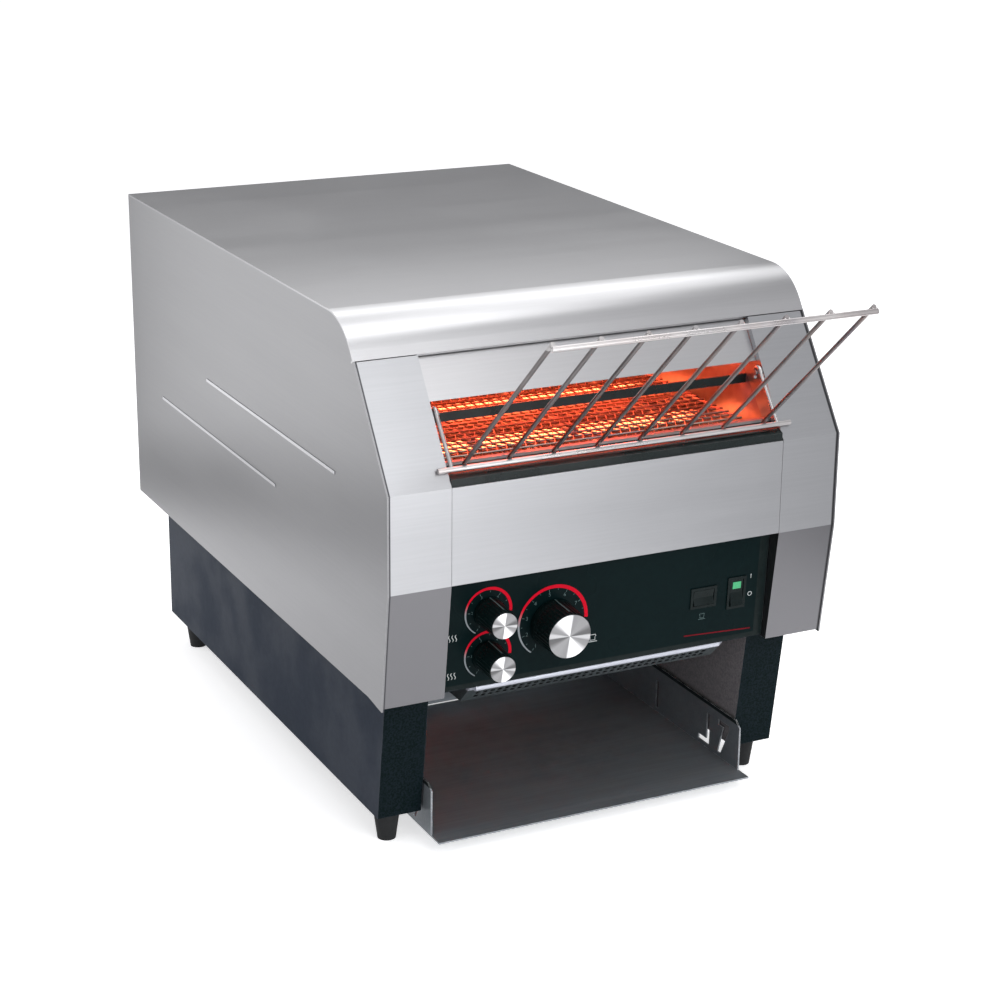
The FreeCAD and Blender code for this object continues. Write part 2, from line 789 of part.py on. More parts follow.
# Cheeks: three facets each side of the mouth and controls, with a return that stiffens the inner edge
cheek_top = S["lip_height"] - S["lip_gap"]
cheek_path = [
    (S["skirt_back"] + S["cheek_inset"], S["skirt_bottom"]),
    (S["cheek_inset"], S["face_low"]),
    (S["cheek_inset"], S["face_high"]),
    (on_slant(cheek_top) + S["cheek_inset"], cheek_top),
]
cheek_face = folded("cheek_face", cheek_path, -side_inner, -S["cheek_inner"], sheet_metal)
return_drop = S["cheek_return"] * S["lip_back"] / slant_rise
return_back = [(back + S["cheek_return"], up) for back, up in reversed(cheek_path)]
return_back[0] = (return_back[0][0], cheek_top - return_drop)
return_outer = S["cheek_inner"] + sheet_metal
cheek_return = profile("cheek_return", cheek_path + return_back, -return_outer, -S["cheek_inner"])
pin_back = on_slant(S["pin_height"]) + S["pin_inset"]
rack_pin = rod("rack_pin", (-return_outer, pin_back, S["pin_height"]), S["pin_radius"], S["pin_length"] + sheet_metal)
left_cheek = node("left_front_cheek", fuse("left_front_cheek", [cheek_face, cheek_return, rack_pin]))
node("right_front_cheek", mirrored("right_front_cheek", left_cheek))

# Chassis sides: the inner walls of chamber and control bay, which carry shafts, heaters and ramp
chassis_outer = return_outer + sheet_metal
chassis_back = S["body_depth"] - S["chassis_back_gap"]
chassis_outline = [
    (S["skirt_back"] + S["chassis_inset"], pan_top),
    (S["chassis_inset"], S["face_low"]),
    (S["chassis_inset"], S["face_high"]),
    (on_slant(S["chassis_top"]) + S["chassis_inset"], S["chassis_top"]),
    (chassis_back, S["chassis_top"]),
    (chassis_back, pan_top),
]
across = 2 * chassis_outer + 2 * S["cut_over"]
across_start = -chassis_outer - S["cut_over"]


def through_chassis(label, back, height, radius):
    """A round hole through both chassis sides."""
    return rod(label, (across_start, back, height), radius, across)


heater_places = []
for index in range(SIZES["heater_count"]):
    step = index * S["heater_pitch"]
    heater_places.append(("upper", index, S["upper_heater_front"] + step, S["upper_heater_height"]))
    heater_places.append(("lower", index, S["lower_heater_front"] + step, S["belt_axis_height"]))
shaft_places = [("front", S["front_axis_back"]), ("rear", S["rear_axis_back"])]
chassis_holes = []
for bank, index, back, height in heater_places:
    chassis_holes.append(through_chassis(f"{bank}_heater_hole_{index}", back, height, S["heater_radius"]))
for end, back in shaft_places:
    chassis_holes.append(through_chassis(end + "_shaft_hole", back, S["belt_axis_height"], S["shaft_hole_radius"]))
motor_hole = through_chassis(
    "motor_shaft_hole", S["motor_axis_back"], S["motor_axis_height"], S["shaft_hole_radius"]
)
left_wall = profile("left_chassis_wall", chassis_outline, -chassis_outer, -return_outer)
right_wall = profile("right_chassis_wall", chassis_outline, return_outer, chassis_outer)
node("left_chassis_side", cut("left_chassis_side", left_wall, chassis_holes))
node("right_chassis_side", cut("right_chassis_side", right_wall, [*chassis_holes, motor_hole]))

# Upper front plate: recessed below the hood's lip, it closes the mouth's top edge
mouth_half = S["cheek_inner"] - S["clearance"]
recess = S["plate_recess"] / slant_up
plate_path = [
    (on_slant(S["plate_low"]) + recess + S["plate_return"], S["plate_low"]),
    (on_slant(S["plate_low"]) + recess, S["plate_low"]),
    (on_slant(S["plate_high"]) + recess, S["plate_high"]),
]
node("upper_front_plate", folded("upper_front_plate", plate_path, -mouth_half, mouth_half, sheet_metal))

# Mouth guard: a strip behind the mouth that holds back a slice too thick for the chamber
guard_half = return_outer - S["clearance"]
guard_top = S["guard_low"] + S["guard_high"]
guard_front = on_slant(guard_top) + S["cheek_inset"] + S["cheek_return"] + S["guard_gap"]
node("mouth_guard", block(
    "mouth_guard",
    (-guard_half, guard_front, S["guard_low"]),
    (guard_half, guard_front + sheet_metal, guard_top),
))

# Centre front panel and the black sill on top of it
centre_path = [
    (S["cheek_inset"] + S["panel_return"], S["face_low"]),
    (S["cheek_inset"], S["face_low"]),
    (S["cheek_inset"], S["face_high"]),
    (S["cheek_inset"] + S["panel_return"], S["face_high"]),
]
node("centre_front_panel", folded("centre_front_panel", centre_path, -mouth_half, mouth_half, sheet_metal))
sill_outline = [
    (S["sill_front"], S["face_high"]),
    (S["sill_front"], S["face_high"] + S["sill_front_high"]),
    (S["sill_step"], S["face_high"] + S["sill_step_high"]),
    (S["sill_back"], S["face_high"] + S["sill_high"]),
    (S["sill_back"], S["face_high"]),
]
node("feed_sill", profile("feed_sill", sill_outline, -mouth_half, mouth_half))

# Control panel: a leaning face with a return at top and bottom. Pieces on it are placed in its own frame,
# by their height on the face and their distance out of it
control_top = S["face_low"] - S["clearance"]
control_drop = control_top - pan_top
control_lean = S["control_low_back"] - S["control_top_back"]
control_long = diagonal(control_lean, control_drop)
face_out = control_drop / control_long
face_down = control_lean / control_long
lean_angle = QUARTER + angle_of(control_lean, control_drop)


def on_control(height, out=as_length(0)):
    """The (back, height) place that stands out of the control panel's face at a height."""
    back = S["control_top_back"] + (control_top - height) * control_lean / control_drop
    return back - out * face_out, height - out * face_down


def control_block(label, x, height, wide, tall, low, high):
    """A box on the control panel's face, centred on a place, between two distances out of it."""
    box = doc.addObject("Part::Box", label)
    bind(box, "Length", wide)
    bind(box, "Width", tall)
    bind(box, "Height", high - low)
    foot = on_control(height, low)
    corner = (foot[0] + tall / 2 * face_down, foot[1] - tall / 2 * face_out)
    return place(box, x - wide / 2, *corner, lean_angle)


def control_rod(label, x, height, radius, low, high):
    """A round bar square to the control panel's face, between two distances out of it."""
    bar = doc.addObject("Part::Cylinder", label)
    bind(bar, "Radius", radius)
    bind(bar, "Height", high - low)
    return place(bar, x, *on_control(height, low), lean_angle)


knob_places = [
    ("upper_small", S["small_knob_x"], S["upper_knob_height"], S["small_knob_radius"]),
    ("lower_small", S["small_knob_x"], S["lower_knob_height"], S["small_knob_radius"]),
    ("large", S["large_knob_x"], S["large_knob_height"], S["large_knob_radius"]),
]
control_path = [
    (S["control_low_back"] + S["control_return"], pan_top),
    (S["control_low_back"], pan_top),
    (S["control_top_back"], control_top),
    (S["control_top_back"] + S["control_return"], control_top),
]
rocker_places = ("feed_rocker", "power_rocker")
control_holes = []
for knob, x, height, radius in knob_places:
    hole_radius = S["bushing_radius"] + S["clearance"]
    hole = control_rod(knob + "_hole", x, height, hole_radius, -sheet_metal * 2, S["overlay_thick"] * 2)
    control_holes.append(hole)
switch_room = 2 * S["rocker_gap"] + 2 * S["switch_wall"]
for rocker in rocker_places:
    wide = S[rocker + "_wide"] + switch_room + 2 * S["clearance"]
    tall = S[rocker + "_tall"] + switch_room + 2 * S["clearance"]
    x, height = S[rocker + "_x"], S[rocker + "_height"]
    hole = control_block(rocker + "_hole", x, height, wide, tall, -sheet_metal * 2, S["overlay_thick"] * 2)
    control_holes.append(hole)
control_sheet = folded("control_sheet", control_path, -mouth_half, mouth_half, sheet_metal)
node("control_panel", cut("control_panel", control_sheet, control_holes))
overlay_outline = [
    on_control(S["overlay_low"]),
    on_control(S["overlay_low"], S["overlay_thick"]),
    on_control(S["overlay_high"], S["overlay_thick"]),
    on_control(S["overlay_high"]),
]
overlay_sheet = profile("overlay_sheet", overlay_outline, -S["overlay_left"], S["overlay_right"])
node("control_overlay", cut("control_overlay", overlay_sheet, control_holes))

# Rotary controls: round cans behind the panel, each with a threaded bushing through it and a bore for the stem
cans = []
for knob, x, height, radius in knob_places:
    can = control_rod(knob + "_can", x, height, S["can_radius"], -sheet_metal - S["can_depth"], -sheet_metal)
    bushing = control_rod(
        knob + "_bushing", x, height, S["bushing_radius"], -sheet_metal - S["can_depth"], S["bushing_length"]
    )
    stem_room = S["stem_depth"] + S["clearance"]
    bore_radius = S["stem_radius"] + S["run_gap"]
    bore = control_rod(knob + "_bore", x, height, bore_radius, -stem_room, S["bushing_length"] + S["cut_over"])
    cans.append(cut(knob + "_control", fuse(knob + "_can_blank", [can, bushing]), [bore]))
node("rotary_controls", group("rotary_controls", cans))

# Knobs: black moulded body with its stem, and a spun disc let into the face
for knob, x, height, radius in knob_places:
    top_radius = radius - S["knob_taper"]
    disc_radius = top_radius - S["knob_edge"]
    seat = S["knob_length"] - S["cap_thick"]
    knob_outline = [
        (0, -S["stem_depth"]),
        (S["stem_radius"], -S["stem_depth"]),
        (S["stem_radius"], S["knob_seat_gap"]),
        (radius, S["knob_seat_gap"]),
        (top_radius, S["knob_length"] - S["knob_edge"]),
        (disc_radius, S["knob_length"]),
        (disc_radius, seat),
        (0, seat),
    ]
    cap_top = S["knob_length"] + S["cap_proud"]
    cap_outline = [(0, seat), (disc_radius, seat), (disc_radius, cap_top), (0, cap_top)]
    foot = on_control(height)
    node(knob + "_knob", turned(knob + "_knob", knob_outline, x, *foot, lean_angle))
    node(knob + "_knob_cap", turned(knob + "_knob_cap", cap_outline, x, *foot, lean_angle))

# Rocker switches: a housing with a rim on the face, and a rocker that tips about a pivot inside it
housings = []
rocker_angle = lean_angle - degrees(S["rocker_tilt"])
for rocker in rocker_places:
    x, height = S[rocker + "_x"], S[rocker + "_height"]
    wide, tall = S[rocker + "_wide"], S[rocker + "_tall"]
    room_wide, room_tall = wide + 2 * S["rocker_gap"], tall + 2 * S["rocker_gap"]
    case_wide, case_tall = wide + switch_room, tall + switch_room
    rim_low = S["overlay_thick"]
    rim = control_block(
        rocker + "_rim", x, height,
        case_wide + 2 * S["bezel_rim"], case_tall + 2 * S["bezel_rim"], rim_low, rim_low + S["bezel_proud"],
    )
    case = control_block(rocker + "_case", x, height, case_wide, case_tall, -S["switch_depth"], rim_low)
    room_low = -S["rocker_pivot"] - S["rocker_depth"] - S["rocker_proud"]
    room_high = rim_low + S["bezel_proud"] + S["cut_over"]
    room = control_block(rocker + "_room", x, height, room_wide, room_tall, room_low, room_high)
    housings.append(cut(rocker + "_housing", fuse(rocker + "_blank", [rim, case]), [room]))
    half = tall / 2
    foot_half = half * 3 / 4
    rocker_outline = [
        (-foot_half, -S["rocker_depth"]),
        (foot_half, -S["rocker_depth"]),
        (half, S["rocker_proud"]),
        (0, S["rocker_proud"] - S["rocker_dip"]),
        (-half, S["rocker_proud"]),
    ]
    pivot = on_control(height, -S["rocker_pivot"])
    solid = profile(rocker + "_key", rocker_outline, x - wide / 2, x + wide / 2, pivot, rocker_angle)
    if rocker == "power_rocker":
        # The lamp's window lies flush in the upper half of the rocker's face
        def on_rocker(up, out):
            """A place on the upper half of the rocker's dished face."""
            return up, S["rocker_proud"] - S["rocker_dip"] + up * S["rocker_dip"] / half + out

        lens_outline = [
            on_rocker(S["lens_low"], -S["lens_sunk"]),
            on_rocker(S["lens_high"], -S["lens_sunk"]),
            on_rocker(S["lens_high"], S["lens_proud"]),
            on_rocker(S["lens_low"], S["lens_proud"]),
        ]
        lens_half = S["lens_wide"] / 2
        lens = profile("power_lamp_lens", lens_outline, x - lens_half, x + lens_half, pivot, rocker_angle)
        node("power_lamp_lens", lens)
        solid = cut("power_rocker_body", solid, [lens])
    node(rocker, solid)
node("switch_housings", group("switch_housings", housings))

# Body pan: the casing's bottom sheet, open over the discharge bay and under the fan
pan_front = block("pan_front", (-mouth_half, S["pan_front"], S["body_bottom"]), (mouth_half, S["tab_back"], pan_top))
pan_main = block(
    "pan_main", (-side_inner, S["tab_back"], S["body_bottom"]), (side_inner, rear_inner, pan_top)
)
bay_front = S["bay_back"] + sheet_metal + S["clearance"]
pan_opening = block(
    "pan_opening",
    (-S["pan_opening_half_width"], bay_front, S["body_bottom"] - S["cut_over"]),
    (S["pan_opening_half_width"], chassis_back, pan_top + S["cut_over"]),
)
fan_hole = rod(
    "fan_hole", (S["fan_x"], S["fan_back"], S["body_bottom"] - S["cut_over"]),
    S["fan_bore"], sheet_metal + 2 * S["cut_over"], "Z",
)
node("body_pan", cut("body_pan", fuse("pan_blank", [pan_front, pan_main]), [pan_opening, fan_hole]))

# Wall between the control bay and the machinery behind it
node("control_bay_wall", block(
    "control_bay_wall",
    (-return_outer, S["bay_back"], pan_top),
    (return_outer, S["bay_back"] + sheet_metal, S["floor_height"]),
))

# Base: a channel along each side, whose front flange is the leg seen beside the tray, and a rear cross wall
leg_inner = S["cheek_inner"]
base_bottom, base_top = S["base_bottom"], S["body_bottom"]
base_sheet = S["base_sheet"]
base_side = [
    (S["base_front"], base_bottom),
    (S["base_front"] - S["base_lean"], base_top),
    (S["base_back"], base_top),
    (S["base_back"], base_bottom),
]
leg_face = [
    (S["base_front"], base_bottom),
    (S["base_front"] - S["base_lean"], base_top),
    (S["base_front"] - S["base_lean"] + base_sheet, base_top),
    (S["base_front"] + base_sheet, base_bottom),
]
base_outer = -S["base_half_width"]
base_walls = [
    profile("base_outer_wall", base_side, base_outer, base_outer + base_sheet),
    profile("base_inner_wall", base_side, -leg_inner - base_sheet, -leg_inner),
    profile("base_leg_face", leg_face, base_outer, -leg_inner),
    block("base_rear_face", (base_outer, S["base_back"] - base_sheet, base_bottom),
          (-leg_inner, S["base_back"], base_top)),
    block("base_floor", (base_outer, S["base_front"], base_bottom),
          (-leg_inner, S["base_back"], base_bottom + base_sheet)),
]
left_base = node("left_base_channel", fuse("left_base_channel", base_walls))
node("right_base_channel", mirrored("right_base_channel", left_base))
cross_half = leg_inner - S["clearance"]
node("rear_base_wall", block(
    "rear_base_wall",
    (-cross_half, S["base_back"] - base_sheet, base_bottom),
    (cross_half, S["base_back"], base_top),
))

# Feet: four tapered rubber feet under the corners of the base
foot_outline = [
    (0, 0),
    (S["foot_tip_radius"], 0),
    (S["foot_radius"], base_bottom - S["foot_rim"]),
    (S["foot_radius"], base_bottom),
    (0, base_bottom),
]
foot_x = S["base_half_width"] - S["foot_radius"] - S["foot_edge_gap"]
feet = []
for corner, side, back in (
    ("front_left", -1, "front_foot_back"),
    ("front_right", 1, "front_foot_back"),
    ("rear_left", -1, "rear_foot_back"),
    ("rear_right", 1, "rear_foot_back"),
):
    feet.append(turned(corner + "_foot", foot_outline, side * foot_x, S[back], 0))
node("rubber_feet", group("rubber_feet", feet))

# Vent grille: a perforated slope under the control panel, with a rolled edge, that lets air in to the fan
grille_path = [
    (S["bay_back"], S["grille_foot_height"]),
    (S["grille_foot_back"], S["grille_foot_height"]),
    (S["grille_edge_back"], S["grille_edge_height"]),
]
grille_sheet = folded("grille_sheet", grille_path, -S["grille_half_width"], S["grille_half_width"], sheet_metal)
grille_edge = rod(
    "grille_edge", (-S["grille_edge_half_width"], S["grille_edge_back"], S["grille_edge_height"]),
    S["grille_edge_radius"], 2 * S["grille_edge_half_width"],
)
cap_outline = [*grille_path, (S["grille_cap_back"], S["body_bottom"]), (S["bay_back"], S["body_bottom"])]
grille_caps = [
    profile("left_grille_cap", cap_outline, -S["grille_half_width"], -S["grille_half_width"] + sheet_metal),
    profile("right_grille_cap", cap_outline, S["grille_half_width"] - sheet_metal, S["grille_half_width"]),
]
grille_holes = []
first_column = -(S["grille_columns"] - 1) * S["grille_hole_pitch"] / 2
first_row = S["grille_foot_height"] + 2 * sheet_metal
for line in range(SIZES["grille_rows"]):
    for column in range(SIZES["grille_columns"]):
        x_low = first_column + column * S["grille_hole_pitch"] - S["grille_hole_wide"] / 2
        z_low = first_row + line * S["grille_row_pitch"]
        low = (x_low, S["grille_edge_back"] - S["cut_over"], z_low)
        high = (x_low + S["grille_hole_wide"], S["grille_foot_back"] + S["cut_over"], z_low + S["grille_hole_high"])
        grille_holes.append(block(f"grille_hole_{line}_{column}", low, high))
grille_blank = fuse("grille_blank", [grille_sheet, grille_edge, *grille_caps])
node("vent_grille", cut("vent_grille", grille_blank, grille_holes))


def stadium(label, low_x, high_x, radius, long):
    """A round ended bar along Y from the origin's axis, as wide as the two places along X."""
    wide = high_x - low_x
    ends = []
    for end, back in (("near", as_length(0)), ("far", long)):
        bar = doc.addObject("Part::Cylinder", f"{label}_{end}")
        bind(bar, "Radius", radius)
        bind(bar, "Height", wide)
        bar.Placement = FreeCAD.Placement(FreeCAD.Vector(), FreeCAD.Rotation(Y_AXIS, 90))
        bind(bar, "Placement.Base.x", low_x)
        bind(bar, "Placement.Base.y", back)
        ends.append(bar)
    box = doc.addObject("Part::Box", label + "_middle")
    bind(box, "Length", wide)
    bind(box, "Width", long)
    bind(box, "Height", 2 * radius)
    bind(box, "Placement.Base.x", low_x)
    bind(box, "Placement.Base.z", -radius)
    return fuse(label, [*ends, box])


def loop(label, low_x, high_x, inner, thick, long, back, height, turn=None):
    """An endless band round two equal wheels."""
    outside = stadium(label + "_outside", low_x, high_x, inner + thick, long)
    inside = stadium(label + "_inside", low_x - S["cut_over"], high_x + S["cut_over"], inner, long)
    return place(cut(label, outside, [inside]), as_length(0), back, height, turn)


# Belt: an endless wire band round the front and rear rollers, over three rails on cross bars
belt_inner = S["roller_radius"] + S["belt_gap"]
node("conveyor_belt", loop(
    "conveyor_belt", -S["belt_half_width"], S["belt_half_width"], belt_inner, S["belt_thick"],
    belt_long, S["front_axis_back"], S["belt_axis_height"],
))
rail_top = S["belt_axis_height"] + belt_inner - S["clearance"]
rails = []
for index in range(SIZES["rail_count"]):
    x_low = (index - (S["rail_count"] - 1) / 2) * S["rail_pitch"] - S["rail_wide"] / 2
    low = (x_low, S["rail_front"], rail_top - S["rail_tall"])
    rails.append(block(f"belt_rail_{index}", low, (x_low + S["rail_wide"], S["rail_back"], rail_top)))
for index in range(SIZES["rail_bar_count"]):
    y_low = S["rail_bar_front"] + index * S["rail_bar_pitch"]
    low = (-return_outer, y_low, rail_top - S["rail_tall"] - S["rail_bar_tall"])
    high = (return_outer, y_low + S["rail_bar_wide"], rail_top - S["rail_tall"])
    rails.append(block(f"rail_cross_bar_{index}", low, high))
node("belt_support", fuse("belt_support", rails))

# Belt shafts: each a round bar with its rollers pinned on, running in flanged bearings on the chassis sides
sprocket_outer = S["chain_plane"] + S["sprocket_wide"]


def belt_shaft(label, back, right_end):
    """A shaft across the chamber with its belt rollers."""
    height = S["belt_axis_height"]
    pieces = [rod(label + "_bar", (-S["shaft_half_width"], back, height), S["shaft_radius"], S["shaft_half_width"] + right_end)]
    for index in range(SIZES["roller_count"]):
        x_low = (index - (S["roller_count"] - 1) / 2) * S["roller_pitch"] - S["roller_wide"] / 2
        pieces.append(rod(f"{label}_roller_{index}", (x_low, back, height), S["roller_radius"], S["roller_wide"]))
    return fuse(label, pieces)


node("idler_shaft", belt_shaft("idler_shaft", S["front_axis_back"], S["shaft_half_width"]))
node("drive_shaft", belt_shaft("drive_shaft", S["rear_axis_back"], sprocket_outer))
bearings = []
for end, back in shaft_places:
    for side, start in (("left", -chassis_outer - S["bearing_wide"]), ("right", chassis_outer)):
        ring = rod(f"{end}_{side}_bearing", (start, back, S["belt_axis_height"]), S["bearing_radius"], S["bearing_wide"])
        bore = rod(
            f"{end}_{side}_bearing_bore", (start - S["cut_over"], back, S["belt_axis_height"]),
            S["shaft_radius"] + S["run_gap"], S["bearing_wide"] + 2 * S["cut_over"],
        )
        bearings.append(cut(f"{end}_{side}_bearing_ring", ring, [bore]))
node("shaft_bearings", group("shaft_bearings", bearings))

# Chain drive: equal sprockets on the gearmotor's shaft and on the rear belt shaft


def sprocket(label, back, height, bore):
    """A toothed wheel in the chain's plane, with the gaps between its teeth set round by a pattern."""
    body = doc.addObject("PartDesign::Body", label)
    disc_sketch = sketch_in(body, label + "_disc", "YZ_Plane")
    circle_in(disc_sketch, 0, 0, S["sprocket_radius"])
    circle_in(disc_sketch, 0, 0, bore)
    disc = body.newObject("PartDesign::Pad", label + "_pad")
    disc.Profile = disc_sketch
    bind(disc, "Length", S["sprocket_wide"])
    doc.recompute()
    whole = disc.Shape.Volume
    gap_sketch = sketch_in(body, label + "_gap", "YZ_Plane")
    circle_in(gap_sketch, 0, S["sprocket_radius"], S["tooth_gap_radius"])
    gap = body.newObject("PartDesign::Pocket", label + "_pocket")
    gap.Profile = gap_sketch
    gap.Type = "ThroughAll"
    gap.Midplane = True
    doc.recompute()
    if not gap.Shape.Volume < whole:
        raise ValueError(label + " has no gap between its teeth")
    teeth = body.newObject("PartDesign::PolarPattern", label + "_teeth")
    teeth.Originals = [gap]
    teeth.Axis = (origin_part(body, "X_Axis"), [""])
    teeth.Angle = 360
    bind(teeth, "Occurrences", S["tooth_count"])
    body.Tip = teeth
    return place(body, S["chain_plane"], back, height)


node("drive_sprocket", sprocket("drive_sprocket", S["rear_axis_back"], S["belt_axis_height"], S["shaft_radius"]))
node("motor_sprocket", sprocket(
    "motor_sprocket", S["motor_axis_back"], S["motor_axis_height"], S["motor_shaft_radius"]
))
chain_run = S["rear_axis_back"] - S["motor_axis_back"]
chain_rise = S["belt_axis_height"] - S["motor_axis_height"]
node("drive_chain", loop(
    "drive_chain", S["chain_plane"], sprocket_outer, S["sprocket_radius"] + S["chain_gap"], S["chain_thick"],
    diagonal(chain_run, chain_rise), S["motor_axis_back"], S["motor_axis_height"], angle_of(chain_rise, chain_run),
))
gearbox_start = return_outer - S["gearbox_long"]
gearbox = block(
    "gearbox",
    (gearbox_start, S["motor_axis_back"] - S["gearbox_half_width"], S["motor_axis_height"] - S["gearbox_half_width"]),
    (return_outer, S["motor_axis_back"] + S["gearbox_half_width"], S["motor_axis_height"] + S["gearbox_half_width"]),
)
motor_can = rod(
    "motor_can", (gearbox_start - S["motor_long"], S["motor_axis_back"], S["motor_axis_height"]),
    S["motor_radius"], S["motor_long"],
)
motor_bore = rod(
    "motor_bore", (return_outer - S["motor_shaft_depth"], S["motor_axis_back"], S["motor_axis_height"]),
    S["motor_shaft_radius"] + S["run_gap"], S["motor_shaft_depth"] + S["cut_over"],
)
node("gearmotor", cut("gearmotor", fuse("gearmotor_blank", [gearbox, motor_can]), [motor_bore]))
motor_shaft_start = return_outer - S["motor_shaft_depth"] + S["clearance"]
node("motor_shaft", rod(
    "motor_shaft", (motor_shaft_start, S["motor_axis_back"], S["motor_axis_height"]),
    S["motor_shaft_radius"], sprocket_outer - motor_shaft_start,
))

# Heaters: two banks of straight sheathed elements held by ceramic bushings on the chassis sides
banks = {"upper": [], "lower": []}
rings = []
for bank, index, back, height in heater_places:
    banks[bank].append(rod(
        f"{bank}_heater_{index}", (-S["heater_half_width"], back, height), S["heater_radius"], 2 * S["heater_half_width"]
    ))
    for side, start in (("left", -chassis_outer - S["bushing_ring_wide"]), ("right", chassis_outer)):
        ring = rod(
            f"{bank}_{side}_ring_{index}", (start, back, height), S["bushing_ring_radius"], S["bushing_ring_wide"]
        )
        rings.append(cut(f"{bank}_{side}_bushing_{index}", ring, [banks[bank][-1]]))
node("upper_heaters", group("upper_heaters", banks["upper"]))
node("lower_heaters", group("lower_heaters", banks["lower"]))
node("heater_bushings", group("heater_bushings", rings))
sheet_half = return_outer - S["clearance"]
reflector_low = S["reflector_height"] - S["reflector_drop"]
reflector_path = [
    (S["reflector_back"] + S["reflector_skirt"], reflector_low),
    (S["reflector_back"], S["reflector_height"]),
    (S["reflector_front"], S["reflector_height"]),
    (S["reflector_front"] - S["reflector_skirt"], reflector_low),
]
node("upper_reflector", folded("upper_reflector", reflector_path, -sheet_half, sheet_half, sheet_metal))

# Chamber floor: one sheet from the feed edge over the sill, down behind the centre panel and back below the belt
floor_path = [
    (S["floor_back"], S["floor_height"]),
    (S["floor_front"], S["floor_height"]),
    (S["floor_front"], S["feed_step_height"]),
    (S["feed_edge_back"], S["feed_edge_height"]),
]
node("chamber_floor", folded("chamber_floor", floor_path, -cross_half, cross_half, sheet_metal))

# Rear deflector turns the falling toast down, and the ramp takes it forward to the tray
deflector_path = [
    (S["deflector_back"], S["deflector_low"]),
    (S["deflector_back"], S["deflector_bend_height"]),
    (S["deflector_shoulder_back"], S["deflector_top"]),
    (S["deflector_front"], S["deflector_top"]),
]
node("rear_deflector", folded("rear_deflector", deflector_path, -sheet_half, sheet_half, sheet_metal))
ramp_path = [
    (S["ramp_front"], S["ramp_front_low"]),
    (S["ramp_front"], S["ramp_front_height"]),
    (S["deflector_back"], S["ramp_back_height"]),
]
node("discharge_ramp", folded("discharge_ramp", ramp_path, -cross_half, cross_half, sheet_metal))

# Ceiling of the discharge bay: hangs from the pan behind the grille and rises with the ramp to the chamber floor
ceiling_top = S["floor_height"] - sheet_metal
ceiling_path = [
    (S["ceiling_high_back"] + S["ceiling_land"], ceiling_top),
    (S["ceiling_high_back"], ceiling_top),
    (S["ceiling_bend_back"], S["grille_foot_height"]),
    (bay_front, S["grille_foot_height"]),
    (bay_front, S["body_bottom"]),
]
node("discharge_ceiling", folded("discharge_ceiling", ceiling_path, -cross_half, cross_half, sheet_metal))

# Toast tray: floor and two side walls, open at the front and back, that slides out on two runners
tray_floor = block(
    "tray_floor",
    (-S["tray_half_width"], S["tray_front"], S["tray_bottom"]),
    (S["tray_half_width"], S["tray_back"], S["tray_bottom"] + S["tray_sheet"]),
)
tray_wall_outline = [
    (S["tray_wall_front"], S["tray_bottom"]),
    (S["tray_wall_front"], S["tray_wall_shoulder"]),
    (S["tray_wall_front"] + S["tray_wall_bevel"], S["tray_wall_top"]),
    (S["tray_back"], S["tray_wall_top"]),
    (S["tray_back"], S["tray_bottom"]),
]
tray_inner = S["tray_half_width"] - S["tray_sheet"]
tray_walls = [
    profile("tray_left_wall", tray_wall_outline, -S["tray_half_width"], -tray_inner),
    profile("tray_right_wall", tray_wall_outline, tray_inner, S["tray_half_width"]),
]
slot_start, slot_end = -S["tray_half_width"] - S["cut_over"], S["tray_half_width"] + S["cut_over"]
half_slot = S["slot_wide"] / 2
hook_front = S["hook_slot_back"] - half_slot
tray_slots = [
    block(
        "tray_rear_slot", (slot_start, S["rear_slot_back"] - half_slot, S["slot_low"]),
        (slot_end, S["rear_slot_back"] + half_slot, S["rear_slot_top"]),
    ),
    block(
        "tray_hook_slot", (slot_start, hook_front, S["slot_low"]),
        (slot_end, S["hook_slot_back"] + half_slot, S["hook_slot_top"]),
    ),
    block(
        "tray_hook_foot", (slot_start, S["hook_slot_back"] + half_slot, S["slot_low"]),
        (slot_end, hook_front + S["slot_wide"] + S["hook_slot_foot"], S["slot_low"] + S["slot_wide"]),
    ),
]
lance_outline = [
    (S["lance_front"], S["lance_top"]),
    (S["lance_back"], S["lance_top"]),
    (S["lance_back"], S["lance_top"] - S["slot_wide"]),
    (S["lance_front"] + S["slot_wide"] * 2, S["lance_top"] - S["slot_wide"]),
    (S["lance_back"], S["slot_low"]),
    (S["lance_back"] - S["slot_wide"], S["slot_low"]),
    (S["lance_front"], S["lance_top"] - S["slot_wide"]),
]
tray_slots.append(profile("tray_lance_slot", lance_outline, slot_start, slot_end))
node("toast_tray", cut("toast_tray", fuse("tray_blank", [tray_floor, *tray_walls]), tray_slots))
runner_top = base_bottom
runner_foot_top = S["tray_bottom"] - S["clearance"]
runner_foot_low = runner_foot_top - base_sheet
runner_leg_inner = leg_inner - S["clearance"]
runner_leg_outer = runner_leg_inner + base_sheet
runner_pieces = [
    block(
        "runner_flange", (-S["runner_outer"], S["runner_front"], runner_top - base_sheet),
        (-runner_leg_inner, S["runner_back"], runner_top),
    ),
    block(
        "runner_leg", (-runner_leg_outer, S["runner_front"], runner_foot_low),
        (-runner_leg_inner, S["runner_back"], runner_top),
    ),
    block(
        "runner_foot", (-runner_leg_outer, S["runner_front"], runner_foot_low),
        (-S["runner_inner"], S["runner_back"], runner_foot_top),
    ),
]
left_runner = node("left_tray_runner", fuse("left_tray_runner", runner_pieces))
node("right_tray_runner", mirrored("right_tray_runner", left_runner))

